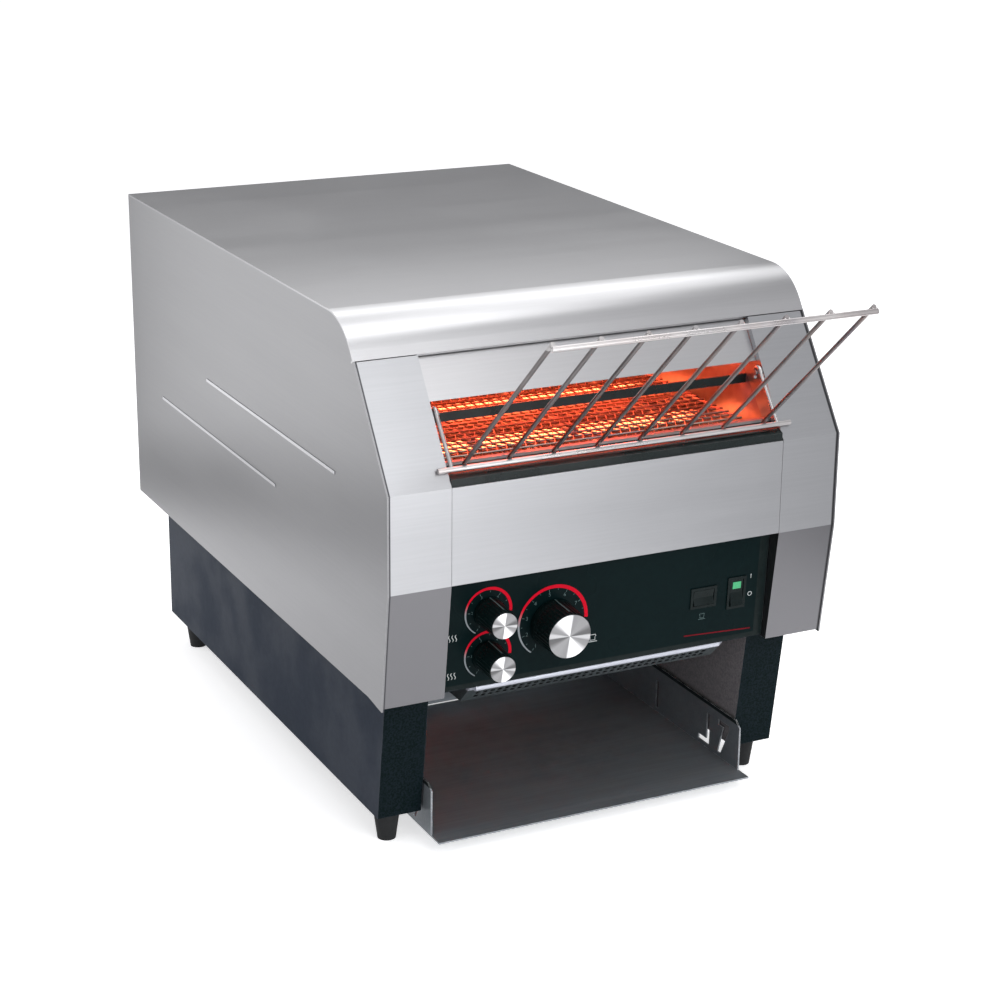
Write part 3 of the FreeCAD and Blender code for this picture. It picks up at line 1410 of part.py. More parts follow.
# Cooling fan on the pan: square frame with struts and a boss, and a bladed rotor on its pin
fan_low = pan_top
fan_centre = (S["fan_x"], S["fan_back"])
fan_left, fan_near = S["fan_x"] - S["fan_half_width"], S["fan_back"] - S["fan_half_width"]
fan_right, fan_far = S["fan_x"] + S["fan_half_width"], S["fan_back"] + S["fan_half_width"]
fan_shell = cut(
    "fan_shell",
    block("fan_square", (fan_left, fan_near, fan_low), (fan_right, fan_far, fan_low + S["fan_high"])),
    [rod("fan_throat", (*fan_centre, fan_low - S["cut_over"]), S["fan_bore"], S["fan_high"] + 2 * S["cut_over"], "Z")],
)
half_strut = S["fan_strut"] / 2
strut_top = fan_low + half_strut
fan_struts = [
    block("fan_strut_x", (fan_left, S["fan_back"] - half_strut, fan_low), (fan_right, S["fan_back"] + half_strut, strut_top)),
    block("fan_strut_y", (S["fan_x"] - half_strut, fan_near, fan_low), (S["fan_x"] + half_strut, fan_far, strut_top)),
    rod("fan_boss", (*fan_centre, fan_low), S["fan_hub"], S["fan_plinth"], "Z"),
]
pin_low = fan_low + S["fan_plinth"] - S["fan_pin_depth"]
fan_pin_bore = rod(
    "fan_pin_bore", (*fan_centre, pin_low - S["clearance"]),
    S["fan_pin_radius"] + S["run_gap"], S["fan_pin_depth"] + S["cut_over"], "Z",
)
node("fan_frame", cut("fan_frame", fuse("fan_frame_blank", [fan_shell, *fan_struts]), [fan_pin_bore]))


def fan_rotor(label):
    """Hub, pin and blades, the blades set round the hub by a pattern."""
    body = doc.addObject("PartDesign::Body", label)
    hub_sketch = sketch_in(body, label + "_hub_outline", "XZ_Plane")
    draw(hub_sketch, [
        (0, -S["fan_lift"] - S["fan_pin_depth"]),
        (S["fan_pin_radius"], -S["fan_lift"] - S["fan_pin_depth"]),
        (S["fan_pin_radius"], 0),
        (S["fan_hub"], 0),
        (S["fan_hub"], S["fan_rotor_high"]),
        (0, S["fan_rotor_high"]),
    ])
    hub = body.newObject("PartDesign::Revolution", label + "_hub")
    hub.Profile = hub_sketch
    hub.ReferenceAxis = (hub_sketch, ["V_Axis"])
    hub.Angle = 360
    blade_sketch = sketch_in(body, label + "_blade_outline", "YZ_Plane")
    draw(blade_sketch, [
        (-S["blade_sweep"], S["blade_low"]),
        (-S["blade_sweep"] + S["blade_thick"], S["blade_low"]),
        (S["blade_sweep"], S["blade_high"]),
        (S["blade_sweep"] - S["blade_thick"], S["blade_high"]),
    ])
    blade = body.newObject("PartDesign::Pad", label + "_blade")
    blade.Profile = blade_sketch
    bind(blade, "Length", S["fan_tip"])
    doc.recompute()
    blades = body.newObject("PartDesign::PolarPattern", label + "_blades")
    blades.Originals = [blade]
    blades.Axis = (origin_part(body, "Z_Axis"), [""])
    blades.Angle = 360
    bind(blades, "Occurrences", S["blade_count"])
    body.Tip = blades
    return place(body, *fan_centre, fan_low + S["fan_plinth"] + S["fan_lift"])


node("fan_rotor", fan_rotor("fan_rotor"))

# Control board: a circuit board with relays, on four posts in front of the bay wall
board_back = S["bay_back"] - S["board_stand"]
board_pieces = [block(
    "board_plate",
    (-S["board_left"], board_back - S["board_thick"], S["board_low"]),
    (-S["board_right"], board_back, S["board_high"]),
)]
for column, x in (("left", -S["board_left"] + S["board_post_inset"]), ("right", -S["board_right"] - S["board_post_inset"])):
    for line, z in (("low", S["board_low"] + S["board_post_inset"]), ("high", S["board_high"] - S["board_post_inset"])):
        board_pieces.append(rod(f"board_post_{column}_{line}", (x, board_back, z), S["board_post_radius"], S["board_stand"], "Y"))
for index in range(SIZES["relay_count"]):
    x_low = -S["board_left"] + S["board_post_inset"] + index * S["relay_pitch"]
    z_low = (S["board_low"] + S["board_high"] - S["relay_high"]) / 2
    low = (x_low, board_back - S["board_thick"] - S["relay_depth"], z_low)
    high = (x_low + S["relay_wide"], board_back - S["board_thick"], z_low + S["relay_high"])
    board_pieces.append(block(f"relay_{index}", low, high))
node("control_board", fuse("control_board", board_pieces))

# Rear panel with louvres, its screws, and the gland where a supply cord would enter
rear_sheet = block("rear_sheet", (-side_inner, rear_inner, pan_top), (side_inner, S["body_depth"], roof_inner))
louvres = []
for side in (-1, 1):
    for index in range(SIZES["louvre_count"]):
        x_low = side * (S["louvre_centre"] + S["louvre_wide"] / 2) - S["louvre_wide"] / 2
        z_low = S["chassis_top"] - S["louvre_drop"] + index * S["louvre_pitch"]
        low = (x_low, rear_inner - S["cut_over"], z_low)
        high = (x_low + S["louvre_wide"], S["body_depth"] + S["cut_over"], z_low + S["louvre_high"])
        louvres.append(block(f"louvre_{'left' if side < 0 else 'right'}_{index}", low, high))
gland_hole = rod(
    "gland_hole", (S["gland_x"], rear_inner - S["cut_over"], S["gland_height"]),
    S["gland_thread_radius"], sheet_metal + 2 * S["cut_over"], "Y",
)
node("rear_panel", cut("rear_panel", rear_sheet, [*louvres, *screw_holes, gland_hole]))
screws = []
for index, (x, z) in enumerate(screw_places):
    screw_outline = [
        (0, 0),
        (S["screw_radius"], 0),
        (S["screw_radius"], S["screw_long"]),
        (S["screw_head_radius"], S["screw_long"]),
        (S["screw_head_radius"], S["screw_long"] + S["screw_head_high"]),
        (0, S["screw_long"] + S["screw_head_high"]),
    ]
    screws.append(turned(f"rear_screw_{index}", screw_outline, x, screw_start, z, -QUARTER))
node("rear_screws", group("rear_screws", screws))
gland_outline = [
    (S["gland_bore"], -S["gland_thread_depth"]),
    (S["gland_thread_radius"], -S["gland_thread_depth"]),
    (S["gland_thread_radius"], 0),
    (S["gland_flange_radius"], 0),
    (S["gland_flange_radius"], S["gland_flange_depth"]),
    (S["gland_dome_radius"], S["gland_dome_start"]),
    (S["gland_dome_radius"], S["gland_length"]),
    (S["gland_bore"], S["gland_length"]),
]
node("cable_gland", turned(
    "cable_gland", gland_outline, S["gland_x"], S["body_depth"], S["gland_height"], -QUARTER
))

# Feed rack: two cross rods and eight sloping bars welded on top of them
lower_rod_back = on_slant(S["rack_rod_height"]) + S["cheek_inset"]
lower_rod_back = lower_rod_back - (S["rack_rod_radius"] + S["clearance"]) / slant_up
rack_run = lower_rod_back + S["rack_length"]
rack_rise = S["rack_height"] - S["rack_rod_height"]
rack_long = diagonal(rack_run, rack_rise)
rack_out, rack_up = rack_run / rack_long, rack_rise / rack_long
bar_lift = S["rack_rod_radius"] + S["rack_bar_radius"] - S["run_gap"]
rack_pieces = [
    rod("rack_top_rod", (-S["rack_top_half_width"], -S["rack_length"], S["rack_height"]), S["rack_rod_radius"], 2 * S["rack_top_half_width"]),
    rod("rack_lower_rod", (-S["rack_rod_half_width"], lower_rod_back, S["rack_rod_height"]), S["rack_rod_radius"], 2 * S["rack_rod_half_width"]),
]
bar_back = lower_rod_back + bar_lift * rack_up + S["rack_bar_over"] * rack_out
bar_low = S["rack_rod_height"] + bar_lift * rack_out - S["rack_bar_over"] * rack_up
bar_first = -S["rack_top_half_width"] + S["rack_bar_radius"]
bar_pitch = -2 * bar_first / (S["rack_bars"] - 1)
for index in range(SIZES["rack_bars"]):
    bar = doc.addObject("Part::Cylinder", f"rack_bar_{index}")
    bind(bar, "Radius", S["rack_bar_radius"])
    bind(bar, "Height", rack_long + 2 * S["rack_bar_over"])
    place(bar, bar_first + index * bar_pitch, bar_back, bar_low, angle_of(rack_run, rack_rise))
    rack_pieces.append(bar)
rack_grid = node("rack_grid", fuse("rack_grid", rack_pieces))

# Rack hooks: from the lower rod's ends up along the mouth, over the pins in the cheeks
hook_bend = S["pin_radius"] + S["clearance"] + S["rack_bar_radius"]
hook_near = pin_back - hook_bend
hook_run, hook_rise = hook_near - lower_rod_back, S["pin_height"] - S["rack_rod_height"]
hook_pairs = []
for side, x in (("left", -S["hook_x"]), ("right", S["hook_x"])):
    stem = doc.addObject("Part::Cylinder", side + "_hook_stem")
    bind(stem, "Radius", S["rack_bar_radius"])
    bind(stem, "Height", diagonal(hook_run, hook_rise))
    place(stem, x, lower_rod_back, S["rack_rod_height"], -angle_of(hook_run, hook_rise))
    knee = doc.addObject("Part::Sphere", side + "_hook_knee")
    bind(knee, "Radius", S["rack_bar_radius"])
    place(knee, x, hook_near, S["pin_height"])
    bend = doc.addObject("Part::Torus", side + "_hook_bend")
    bind(bend, "Radius1", hook_bend)
    bind(bend, "Radius2", S["rack_bar_radius"])
    bend.Angle3 = 180
    bend.Placement = FreeCAD.Placement(FreeCAD.Vector(), SIDEWAYS)
    bind(bend, "Placement.Base.x", x)
    bind(bend, "Placement.Base.y", FRONT + pin_back)
    bind(bend, "Placement.Base.z", S["pin_height"])
    drop = rod(
        side + "_hook_drop", (x, pin_back + hook_bend, S["pin_height"] - S["hook_drop"]),
        S["rack_bar_radius"], S["hook_drop"], "Z",
    )
    hook_pairs.append(cut(side + "_hook", fuse(side + "_hook_wire", [stem, knee, bend, drop]), [rack_pieces[1]]))
node("rack_hooks", group("rack_hooks", hook_pairs))

doc.recompute()
failed = [thing.Label for thing in doc.Objects if {"Invalid", "Error"} & set(thing.State)]
if failed:
    raise RuntimeError("not built: " + ", ".join(failed))
for label, thing in NODES.items():
    if thing.Shape.isNull() or not thing.Shape.isValid() or not thing.Shape.Solids:
        raise RuntimeError(label + " has no valid solid")
os.makedirs("parts", exist_ok=True)
for label, thing in NODES.items():
    thing.Shape.exportStep(f"parts/{label}.step")
    print(f"{label}: {len(thing.Shape.Solids)} solid, {thing.Shape.Volume:.0f} mm3")
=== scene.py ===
"""Looks of a counter-top conveyor toaster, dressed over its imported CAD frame."""

import logging
import math
from collections.abc import Callable, Sequence
from dataclasses import dataclass, field, replace
from enum import Enum

import bmesh
import bpy
from mathutils import Matrix, Vector


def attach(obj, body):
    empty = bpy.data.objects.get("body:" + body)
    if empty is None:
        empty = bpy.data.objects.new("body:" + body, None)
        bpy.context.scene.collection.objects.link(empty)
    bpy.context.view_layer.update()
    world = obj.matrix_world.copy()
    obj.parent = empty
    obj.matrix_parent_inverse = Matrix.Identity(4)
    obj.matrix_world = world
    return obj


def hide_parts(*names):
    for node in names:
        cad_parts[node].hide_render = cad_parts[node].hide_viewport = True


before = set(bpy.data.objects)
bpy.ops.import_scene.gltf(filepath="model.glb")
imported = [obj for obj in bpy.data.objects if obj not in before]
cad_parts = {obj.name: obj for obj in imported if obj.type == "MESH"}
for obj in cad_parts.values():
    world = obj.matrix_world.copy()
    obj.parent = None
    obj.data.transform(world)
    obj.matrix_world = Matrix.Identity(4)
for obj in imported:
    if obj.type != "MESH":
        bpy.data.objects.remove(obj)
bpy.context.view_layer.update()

logging.basicConfig(level=logging.INFO, format="%(message)s")
log = logging.getLogger("toaster")

Colour = tuple[float, float, float]
Point = tuple[float, float, float]
Socket = bpy.types.NodeSocket
Tree = bpy.types.NodeTree
Feed = "Socket | float | Sequence[float]"
FRONT_FACE = -0.222
FOIL_FACE = 0.00056
INK_THICK = 0.0001
SHARP_ANGLE = math.radians(40)
LETTER_SCALE = 1.35
SLICE = (
    (-0.36, -0.3), (0.36, -0.3), (0.36, 0.12), (0.48, 0.26), (0.4, 0.46), (-0.4, 0.46), (-0.48, 0.26),
    (-0.36, 0.12),
)


class Body(str, Enum):
    """The bodies of the frame that new pieces ride on."""

    HOUSING = "housing"
    UPPER_KNOB = "upper_heat_knob"
    LOWER_KNOB = "lower_heat_knob"
    LARGE_KNOB = "speed_knob"
    RACK = "feed_rack"


class Kind(str, Enum):
    """What a socket of a shader group carries."""

    VALUE = "NodeSocketFloat"
    VECTOR = "NodeSocketVector"
    COLOUR = "NodeSocketColor"


class Wiring:
    """Short calls that add and join the nodes of one node tree."""

    def __init__(self, tree: Tree) -> None:
        """Start on an empty tree."""
        self.tree = tree
        tree.nodes.clear()

    def add(self, kind: str, feeds: dict | None = None, **settings: object) -> bpy.types.Node:
        """Add one node.

        Args:
            kind: Blender's name for the node, without ShaderNode in front.
            feeds: Input name or number, and the socket or value that goes in.
            settings: Properties to set on the node.

        Returns:
            The new node.
        """
        node = self.tree.nodes.new("ShaderNode" + kind)
        for name, value in settings.items():
            setattr(node, name, value)
        for key, value in (feeds or {}).items():
            self.feed(node.inputs[key], value)
        return node

    def feed(self, socket: Socket, value: Feed) -> None:
        """Join a socket to an input, or set the input's own value."""
        if isinstance(value, Socket):
            self.tree.links.new(value, socket)
        elif socket.type == "RGBA":
            socket.default_value = (*value[:3], 1.0)
        else:
            socket.default_value = value

    def math(self, operation: str, first: Feed, second: Feed = 0.5) -> Socket:
        """One arithmetic step on two numbers."""
        return self.add("Math", {0: first, 1: second}, operation=operation, use_clamp=True).outputs[0]

    def times(self, value: Feed, factor: float) -> Socket:
        """A number multiplied, with no limit on the result."""
        return self.add("Math", {0: value, 1: factor}, operation="MULTIPLY").outputs[0]

    def vector(self, operation: str, first: Feed, second: Feed = None) -> Socket:
        """One step on vectors, which gives a vector."""
        feeds = {0: first} if second is None else {0: first, 1: second}
        return self.add("VectorMath", feeds, operation=operation).outputs[0]

    def span(self, value: Feed, low: float, high: float, start: float = 0.0, end: float = 1.0) -> Socket:
        """Spread a value between low and high over start to end.

        Args:
            value: The socket to spread.
            low: Value that gives start.
            high: Value that gives end.
            start: Result at low.
            end: Result at high.

        Returns:
            The result's socket.
        """
        feeds = {0: value, 1: low, 2: high, 3: start, 4: end}
        return self.add("MapRange", feeds, interpolation_type="SMOOTHSTEP").outputs[0]

    def blend(self, share: Feed, first: Feed, second: Feed) -> Socket:
        """Mix two colours by a share."""
        return self.add("Mix", {0: share, 6: first, 7: second}, data_type="RGBA").outputs[2]

    def noise(self, vector: Feed, scale: Feed, detail: float = 3.0, twist: float = 0.0) -> Socket:
        """A noise value from 0 to 1.

        Args:
            vector: Where it is read.
            scale: Features per metre.
            detail: Octaves of finer noise.
            twist: How far the noise bends itself.

        Returns:
            The value's socket.
        """
        feeds = {"Vector": vector, "Scale": scale, "Detail": detail, "Distortion": twist}
        return self.add("TexNoise", feeds).outputs[0]

    def part(self, vector: Feed, axis: int) -> Socket:
        """One coordinate of a vector: 0 for x, 1 for y, 2 for z."""
        return self.add("SeparateXYZ", {0: vector}).outputs[axis]

    def group(self, effect: "Effect", feeds: dict) -> bpy.types.Node:
        """Place a shared shader group."""
        node = self.tree.nodes.new("ShaderNodeGroup")
        node.node_tree = effect.tree()
        for name, value in feeds.items():
            self.feed(node.inputs[name], value)
        return node


class Effect(Enum):
    """Surface effects that several finishes share, each a shader group with named sockets."""

    BRUSHED = "brushed_grain"
    HAZE = "hand_haze"
    EDGE = "edge_wear"
    MOULDED = "moulded_grain"
    DUST = "settled_dust"
    HEAT = "heat_tint"

    def tree(self) -> Tree:
        """The group's node tree, built the first time it is asked for."""
        found = bpy.data.node_groups.get(self.value)
        return found or getattr(self, "_" + self.value)()

    def _start(self, inputs: dict[str, tuple[Kind, Feed]], outputs: dict[str, Kind]) -> tuple:
        """Open a new group.

        Args:
            inputs: Name of each input, with its kind and default.
            outputs: Name and kind of each output.

        Returns:
            The tree, its wiring, the group's given sockets and the sockets it gives out.
        """
        tree = bpy.data.node_groups.new(self.value, "ShaderNodeTree")
        for name, (kind, value) in inputs.items():
            socket = tree.interface.new_socket(name, in_out="INPUT", socket_type=kind.value)
            if kind is Kind.VALUE:
                socket.default_value = value
        for name, kind in outputs.items():
            tree.interface.new_socket(name, in_out="OUTPUT", socket_type=kind.value)
        wiring = Wiring(tree)
        source = tree.nodes.new("NodeGroupInput")
        target = tree.nodes.new("NodeGroupOutput")
        return tree, wiring, source.outputs, target.inputs

    def _brushed_grain(self) -> Tree:
        """Fine lines drawn out along one direction, with broad slow bands among them."""
        tree, wiring, given, out = self._start(
            {"Vector": (Kind.VECTOR, None), "Stretch": (Kind.VECTOR, None)},
            {"Streak": Kind.VALUE, "Band": Kind.VALUE, "Height": Kind.VALUE},
        )
        drawn = wiring.vector("MULTIPLY", given["Vector"], given["Stretch"])
        fine = wiring.noise(drawn, 1.0, 5.0)
        broad = wiring.noise(drawn, 0.07, 3.0)
        wiring.feed(out["Streak"], wiring.span(fine, 0.3, 0.7))
        wiring.feed(out["Band"], wiring.span(broad, 0.32, 0.68))
        wiring.feed(out["Height"], fine)
        return tree

    def _hand_haze(self) -> Tree:
        """Soft cloudy patches where a surface was wiped and touched."""
        tree, wiring, given, out = self._start(
            {"Vector": (Kind.VECTOR, None), "Scale": (Kind.VALUE, 9.0)}, {"Haze": Kind.VALUE}
        )
        cloud = wiring.noise(given["Vector"], given["Scale"], 5.0, 0.6)
        speck = wiring.noise(given["Vector"], wiring.times(given["Scale"], 14.0), 2.0)
        patchy = wiring.span(speck, 0.2, 0.75, 0.6, 1.0)
        wiring.feed(out["Haze"], wiring.math("MULTIPLY", wiring.span(cloud, 0.42, 0.68), patchy))
        return tree

    def _edge_wear(self) -> Tree:
        """A broken line along sharp edges, where hands and cloths rub."""
        tree, wiring, given, out = self._start(
            {"Vector": (Kind.VECTOR, None), "Radius": (Kind.VALUE, 0.001)}, {"Edge": Kind.VALUE}
        )
        rounded = wiring.add("Bevel", {"Radius": given["Radius"]}, samples=4).outputs[0]
        plain = wiring.add("NewGeometry").outputs["Normal"]
        same = wiring.add("VectorMath", {0: rounded, 1: plain}, operation="DOT_PRODUCT").outputs["Value"]
        broken = wiring.noise(given["Vector"], 160.0, 4.0)
        rubbed = wiring.span(broken, 0.35, 0.6, 0.25, 1.0)
        wiring.feed(out["Edge"], wiring.math("MULTIPLY", wiring.span(same, 0.995, 0.9), rubbed))
        return tree

    def _moulded_grain(self) -> Tree:
        """The fine eroded texture of a moulding tool, or the skin of sprayed paint."""
        tree, wiring, given, out = self._start(
            {"Vector": (Kind.VECTOR, None), "Scale": (Kind.VALUE, 900.0)}, {"Tone": Kind.VALUE, "Height": Kind.VALUE}
        )
        cells = wiring.add(
            "TexVoronoi", {"Vector": given["Vector"], "Scale": given["Scale"]}, feature="SMOOTH_F1",
        ).outputs[0]
        soft = wiring.noise(given["Vector"], given["Scale"], 4.0)
        wiring.feed(out["Tone"], wiring.span(soft, 0.35, 0.65))
        halves = [wiring.math("MULTIPLY", whole, 0.5) for whole in (cells, soft)]
        wiring.feed(out["Height"], wiring.math("ADD", *halves))
        return tree

    def _settled_dust(self) -> Tree:
        """Fine dust and crumbs lying on whatever faces up."""
        tree, wiring, given, out = self._start(
            {"Vector": (Kind.VECTOR, None), "Scale": (Kind.VALUE, 60.0)}, {"Dust": Kind.VALUE}
        )
        upward = wiring.part(wiring.add("NewGeometry").outputs["Normal"], 2)
        film = wiring.span(wiring.noise(given["Vector"], given["Scale"], 6.0), 0.35, 0.75)
        finer = wiring.times(given["Scale"], 7.0)
        crumbs = wiring.add("TexVoronoi", {"Vector": given["Vector"], "Scale": finer}).outputs[0]
        grains = wiring.span(crumbs, 0.17, 0.1)
        lying = wiring.math("MAXIMUM", film, grains)
        wiring.feed(out["Dust"], wiring.math("MULTIPLY", wiring.span(upward, 0.2, 0.95), lying))
        return tree

    def _heat_tint(self) -> Tree:
        """Straw to violet temper colours in uneven patches."""
        tree, wiring, given, out = self._start(
            {"Vector": (Kind.VECTOR, None), "Scale": (Kind.VALUE, 14.0)}, {"Tint": Kind.COLOUR, "Amount": Kind.VALUE}
        )
        cloud = wiring.noise(given["Vector"], given["Scale"], 4.0, 1.2)
        ramp = wiring.add("ValToRGB", {0: cloud})
        ramp.color_ramp.elements[0].position = 0.3
        ramp.color_ramp.elements[0].color = (0.55, 0.42, 0.24, 1)
        ramp.color_ramp.elements[1].position = 0.72
        ramp.color_ramp.elements[1].color = (0.16, 0.14, 0.3, 1)
        middle = ramp.color_ramp.elements.new(0.52)
        middle.color = (0.42, 0.2, 0.13, 1)
        wiring.feed(out["Tint"], ramp.outputs[0])
        wiring.feed(out["Amount"], wiring.span(wiring.noise(given["Vector"], given["Scale"], 2.0), 0.35, 0.7))
        return tree


@dataclass(frozen=True)
class Finish:
    """One surface: two tones drawn out by grain, haze, worn edges and settled dust."""

    name: str
    tone: Colour
    streak_tone: Colour
    metallic: float = 1.0
    roughness: float = 0.35
    swing: float = 0.08
    stretch: Point = (200.0, 200.0, 200.0)
    grain: float = 0.15
    grain_depth: float = 0.00004
    moulded: float = 0.0
    haze: float = 0.25
    haze_tone: Colour = (0.3, 0.31, 0.32)
    haze_scale: float = 9.0
    wear: float = 0.4
    wear_tone: Colour = (0.62, 0.63, 0.64)
    wear_radius: float = 0.0008
    dust: float = 0.0
    heat: float = 0.0
    specular: float = 0.5
    coat: float = 0.0
    anisotropy: float = 0.0

    def material(self) -> bpy.types.Material:
        """The finish as a material, built the first time it is asked for."""
        return bpy.data.materials.get("toaster_" + self.name) or self._build()

    def _build(self) -> bpy.types.Material:
        """Make the material's nodes."""
        made = bpy.data.materials.new("toaster_" + self.name)
        made.use_nodes = True
        wiring = Wiring(made.node_tree)
        here = wiring.add("TexCoord").outputs["Object"]
        drawn = wiring.group(Effect.BRUSHED, {"Vector": here, "Stretch": self.stretch}).outputs
        tone = wiring.blend(drawn["Streak"], self.tone, self.streak_tone)
        hazed = wiring.group(Effect.HAZE, {"Vector": here, "Scale": self.haze_scale}).outputs["Haze"]
        tone = wiring.blend(wiring.math("MULTIPLY", hazed, self.haze), tone, self.haze_tone)
        tone = self.local_tone(wiring, here, tone)
        rough = wiring.span(drawn["Band"], 0.0, 1.0, self.roughness - self.swing, self.roughness + self.swing)
        rough = wiring.math("ADD", rough, wiring.math("MULTIPLY", hazed, self.haze * 0.3))
        height = drawn["Height"]
        if self.moulded:
            moulded = wiring.group(Effect.MOULDED, {"Vector": here, "Scale": self.moulded}).outputs
            tone = wiring.blend(wiring.math("MULTIPLY", moulded["Tone"], 0.3), tone, self.streak_tone)
            height = moulded["Height"]
        if self.heat:
            heated = wiring.group(Effect.HEAT, {"Vector": here}).outputs
            tone = wiring.blend(wiring.math("MULTIPLY", heated["Amount"], self.heat), tone, heated["Tint"])
        if self.wear:
            edge = wiring.group(Effect.EDGE, {"Vector": here, "Radius": self.wear_radius}).outputs["Edge"]
            tone = wiring.blend(wiring.math("MULTIPLY", edge, self.wear), tone, self.wear_tone)
        if self.dust:
            dust = wiring.group(Effect.DUST, {"Vector": here}).outputs["Dust"]
            shown = wiring.math("MULTIPLY", dust, self.dust)
            tone = wiring.blend(shown, tone, (0.3, 0.24, 0.18))
            rough = wiring.math("ADD", rough, wiring.math("MULTIPLY", shown, 0.4))
        bump = wiring.add(
            "Bump", {"Strength": self.grain, "Distance": self.grain_depth, "Height": height},
        ).outputs[0]
        shader = wiring.add("BsdfPrincipled", {
            "Base Color": tone, "Metallic": self.metallic, "Roughness": rough, "Normal": bump,
            "Specular IOR Level": self.specular, "Coat Weight": self.coat, "Coat Roughness": 0.12,
            "Anisotropic": self.anisotropy,
        })
        self.light_up(wiring, here, shader)
        wiring.add("OutputMaterial", {"Surface": shader.outputs[0]})
        return made

    def local_tone(self, wiring: Wiring, here: Feed, tone: Feed) -> Feed:
        """Tones that belong to one place of the piece; plain finishes have none."""
        return tone

    def light_up(self, wiring: Wiring, here: Feed, shader: bpy.types.Node) -> None:
        """Light that the surface gives off, or a turned grain; plain finishes have neither."""


@dataclass(frozen=True)
class GrilleFinish(Finish):
    """Dark perforated slope under a rolled edge with a painted highlight."""

    edge_highlight_tone: Colour = (0.56, 0.58, 0.65)
    edge_low: float = 0.1236

    def local_tone(self, wiring: Wiring, here: Feed, tone: Feed) -> Feed:
        """Painted highlight above the slope, dark on it."""
        height = wiring.span(wiring.part(here, 2), self.edge_low, self.edge_low + 0.0006)
        front = wiring.span(wiring.part(here, 1), FRONT_FACE + 0.036, FRONT_FACE + 0.033)
        # painted highlight along the rolled edge
        return wiring.blend(wiring.math("MULTIPLY", height, front), tone, self.edge_highlight_tone)


@dataclass(frozen=True)
class BaseFinish(Finish):
    """Slate paint, with painted shade on its front and painted light beside the tray, fitted to the photograph."""

    front_shade_tone: Colour = (0.0012, 0.006, 0.006)
    inner_light_tone: Colour = (0.2, 0.185, 0.19)
    inner_half: float = 0.1355

    def local_tone(self, wiring: Wiring, here: Feed, tone: Feed) -> Feed:
        """Painted shade where the sheet faces the front, painted light beside the tray."""
        forward = wiring.part(wiring.add("NewGeometry").outputs["Normal"], 1)
        across = wiring.math("ABSOLUTE", wiring.part(here, 0))
        # painted light on the inner walls beside the tray
        tone = wiring.blend(wiring.span(across, self.inner_half, self.inner_half - 0.0003), tone, self.inner_light_tone)
        # painted shade on faces turned to the front
        return wiring.blend(wiring.span(forward, -0.55, -0.85), tone, self.front_shade_tone)


@dataclass(frozen=True)
class HoodFinish(Finish):
    """Sheet with painted shade towards the rear, fitted to the photograph's light."""

    rear_shade_tone: Colour = (0.31, 0.31, 0.318)
    fade: tuple[float, float] = (-0.2, 0.1)

    def local_tone(self, wiring: Wiring, here: Feed, tone: Feed) -> Feed:
        """Painted shade, deeper step by step towards the rear."""
        # painted shade fading in towards the rear
        return wiring.blend(wiring.span(wiring.part(here, 1), *self.fade), tone, self.rear_shade_tone)


@dataclass(frozen=True)
class RibFinish(Finish):
    """Sheet whose pressed ribs carry a painted highlight, fitted to the photograph's light."""

    crest: float = 0.18425
    crest_highlight_tone: Colour = (0.52, 0.52, 0.54)

    def local_tone(self, wiring: Wiring, here: Feed, tone: Feed) -> Feed:
        """Painted highlight where the sheet stands out."""
        across = wiring.math("ABSOLUTE", wiring.part(here, 0))
        # painted highlight on the rib crests
        return wiring.blend(wiring.span(across, self.crest - 0.0001, self.crest + 0.0001), tone, self.crest_highlight_tone)


@dataclass(frozen=True)
class SeamFinish(Finish):
    """Sheet with a painted shade line at the side panel and painted shade below, fitted to the photograph."""

    joint: float = 0.1813
    joint_shade_tone: Colour = (0.07, 0.07, 0.075)
    skirt_top: float = 0.2199
    skirt_shade_tone: Colour = (0.186, 0.185, 0.195)

    def local_tone(self, wiring: Wiring, here: Feed, tone: Feed) -> Feed:
        """Painted shade in the outermost strip and below the upright facet."""
        across = wiring.math("ABSOLUTE", wiring.part(here, 0))
        below = wiring.span(wiring.part(here, 2), self.skirt_top + 0.0002, self.skirt_top - 0.0002)
        # painted shade on the facet below the upright one
        tone = wiring.blend(below, tone, self.skirt_shade_tone)
        # painted shade in the gap beside the side panel
        return wiring.blend(wiring.span(across, self.joint - 0.0003, self.joint + 0.0003), tone, self.joint_shade_tone)


@dataclass(frozen=True)
class TrayFinish(Finish):
    """Sheet with a painted shade line along the top of the tray's walls, as the photograph shows one."""

    hem: float = 0.0478
    hem_shade_tone: Colour = (0.012, 0.02, 0.02)

    def local_tone(self, wiring: Wiring, here: Feed, tone: Feed) -> Feed:
        """Painted shade along the top of the side walls."""
        # painted shade of the gap above the tray's walls
        return wiring.blend(
            wiring.span(wiring.part(here, 2), self.hem - 0.0002, self.hem + 0.0002), tone, self.hem_shade_tone,
        )


@dataclass(frozen=True)
class RackFinish(Finish):
    """End rods with a painted highlight over the bars' tone, fitted to the photograph."""

    rod_highlight_tone: Colour = (0.5, 0.485, 0.485)
    low_rod: float = 0.3066
    high_rod: float = 0.4160

    def local_tone(self, wiring: Wiring, here: Feed, tone: Feed) -> Feed:
        """Painted highlight at the rods' heights."""
        height = wiring.part(here, 2)
        low = wiring.span(height, self.low_rod + 0.0004, self.low_rod - 0.0004)
        high = wiring.span(height, self.high_rod - 0.0004, self.high_rod + 0.0004)
        # painted highlight on the end rods
        return wiring.blend(wiring.math("ADD", low, high), tone, self.rod_highlight_tone)


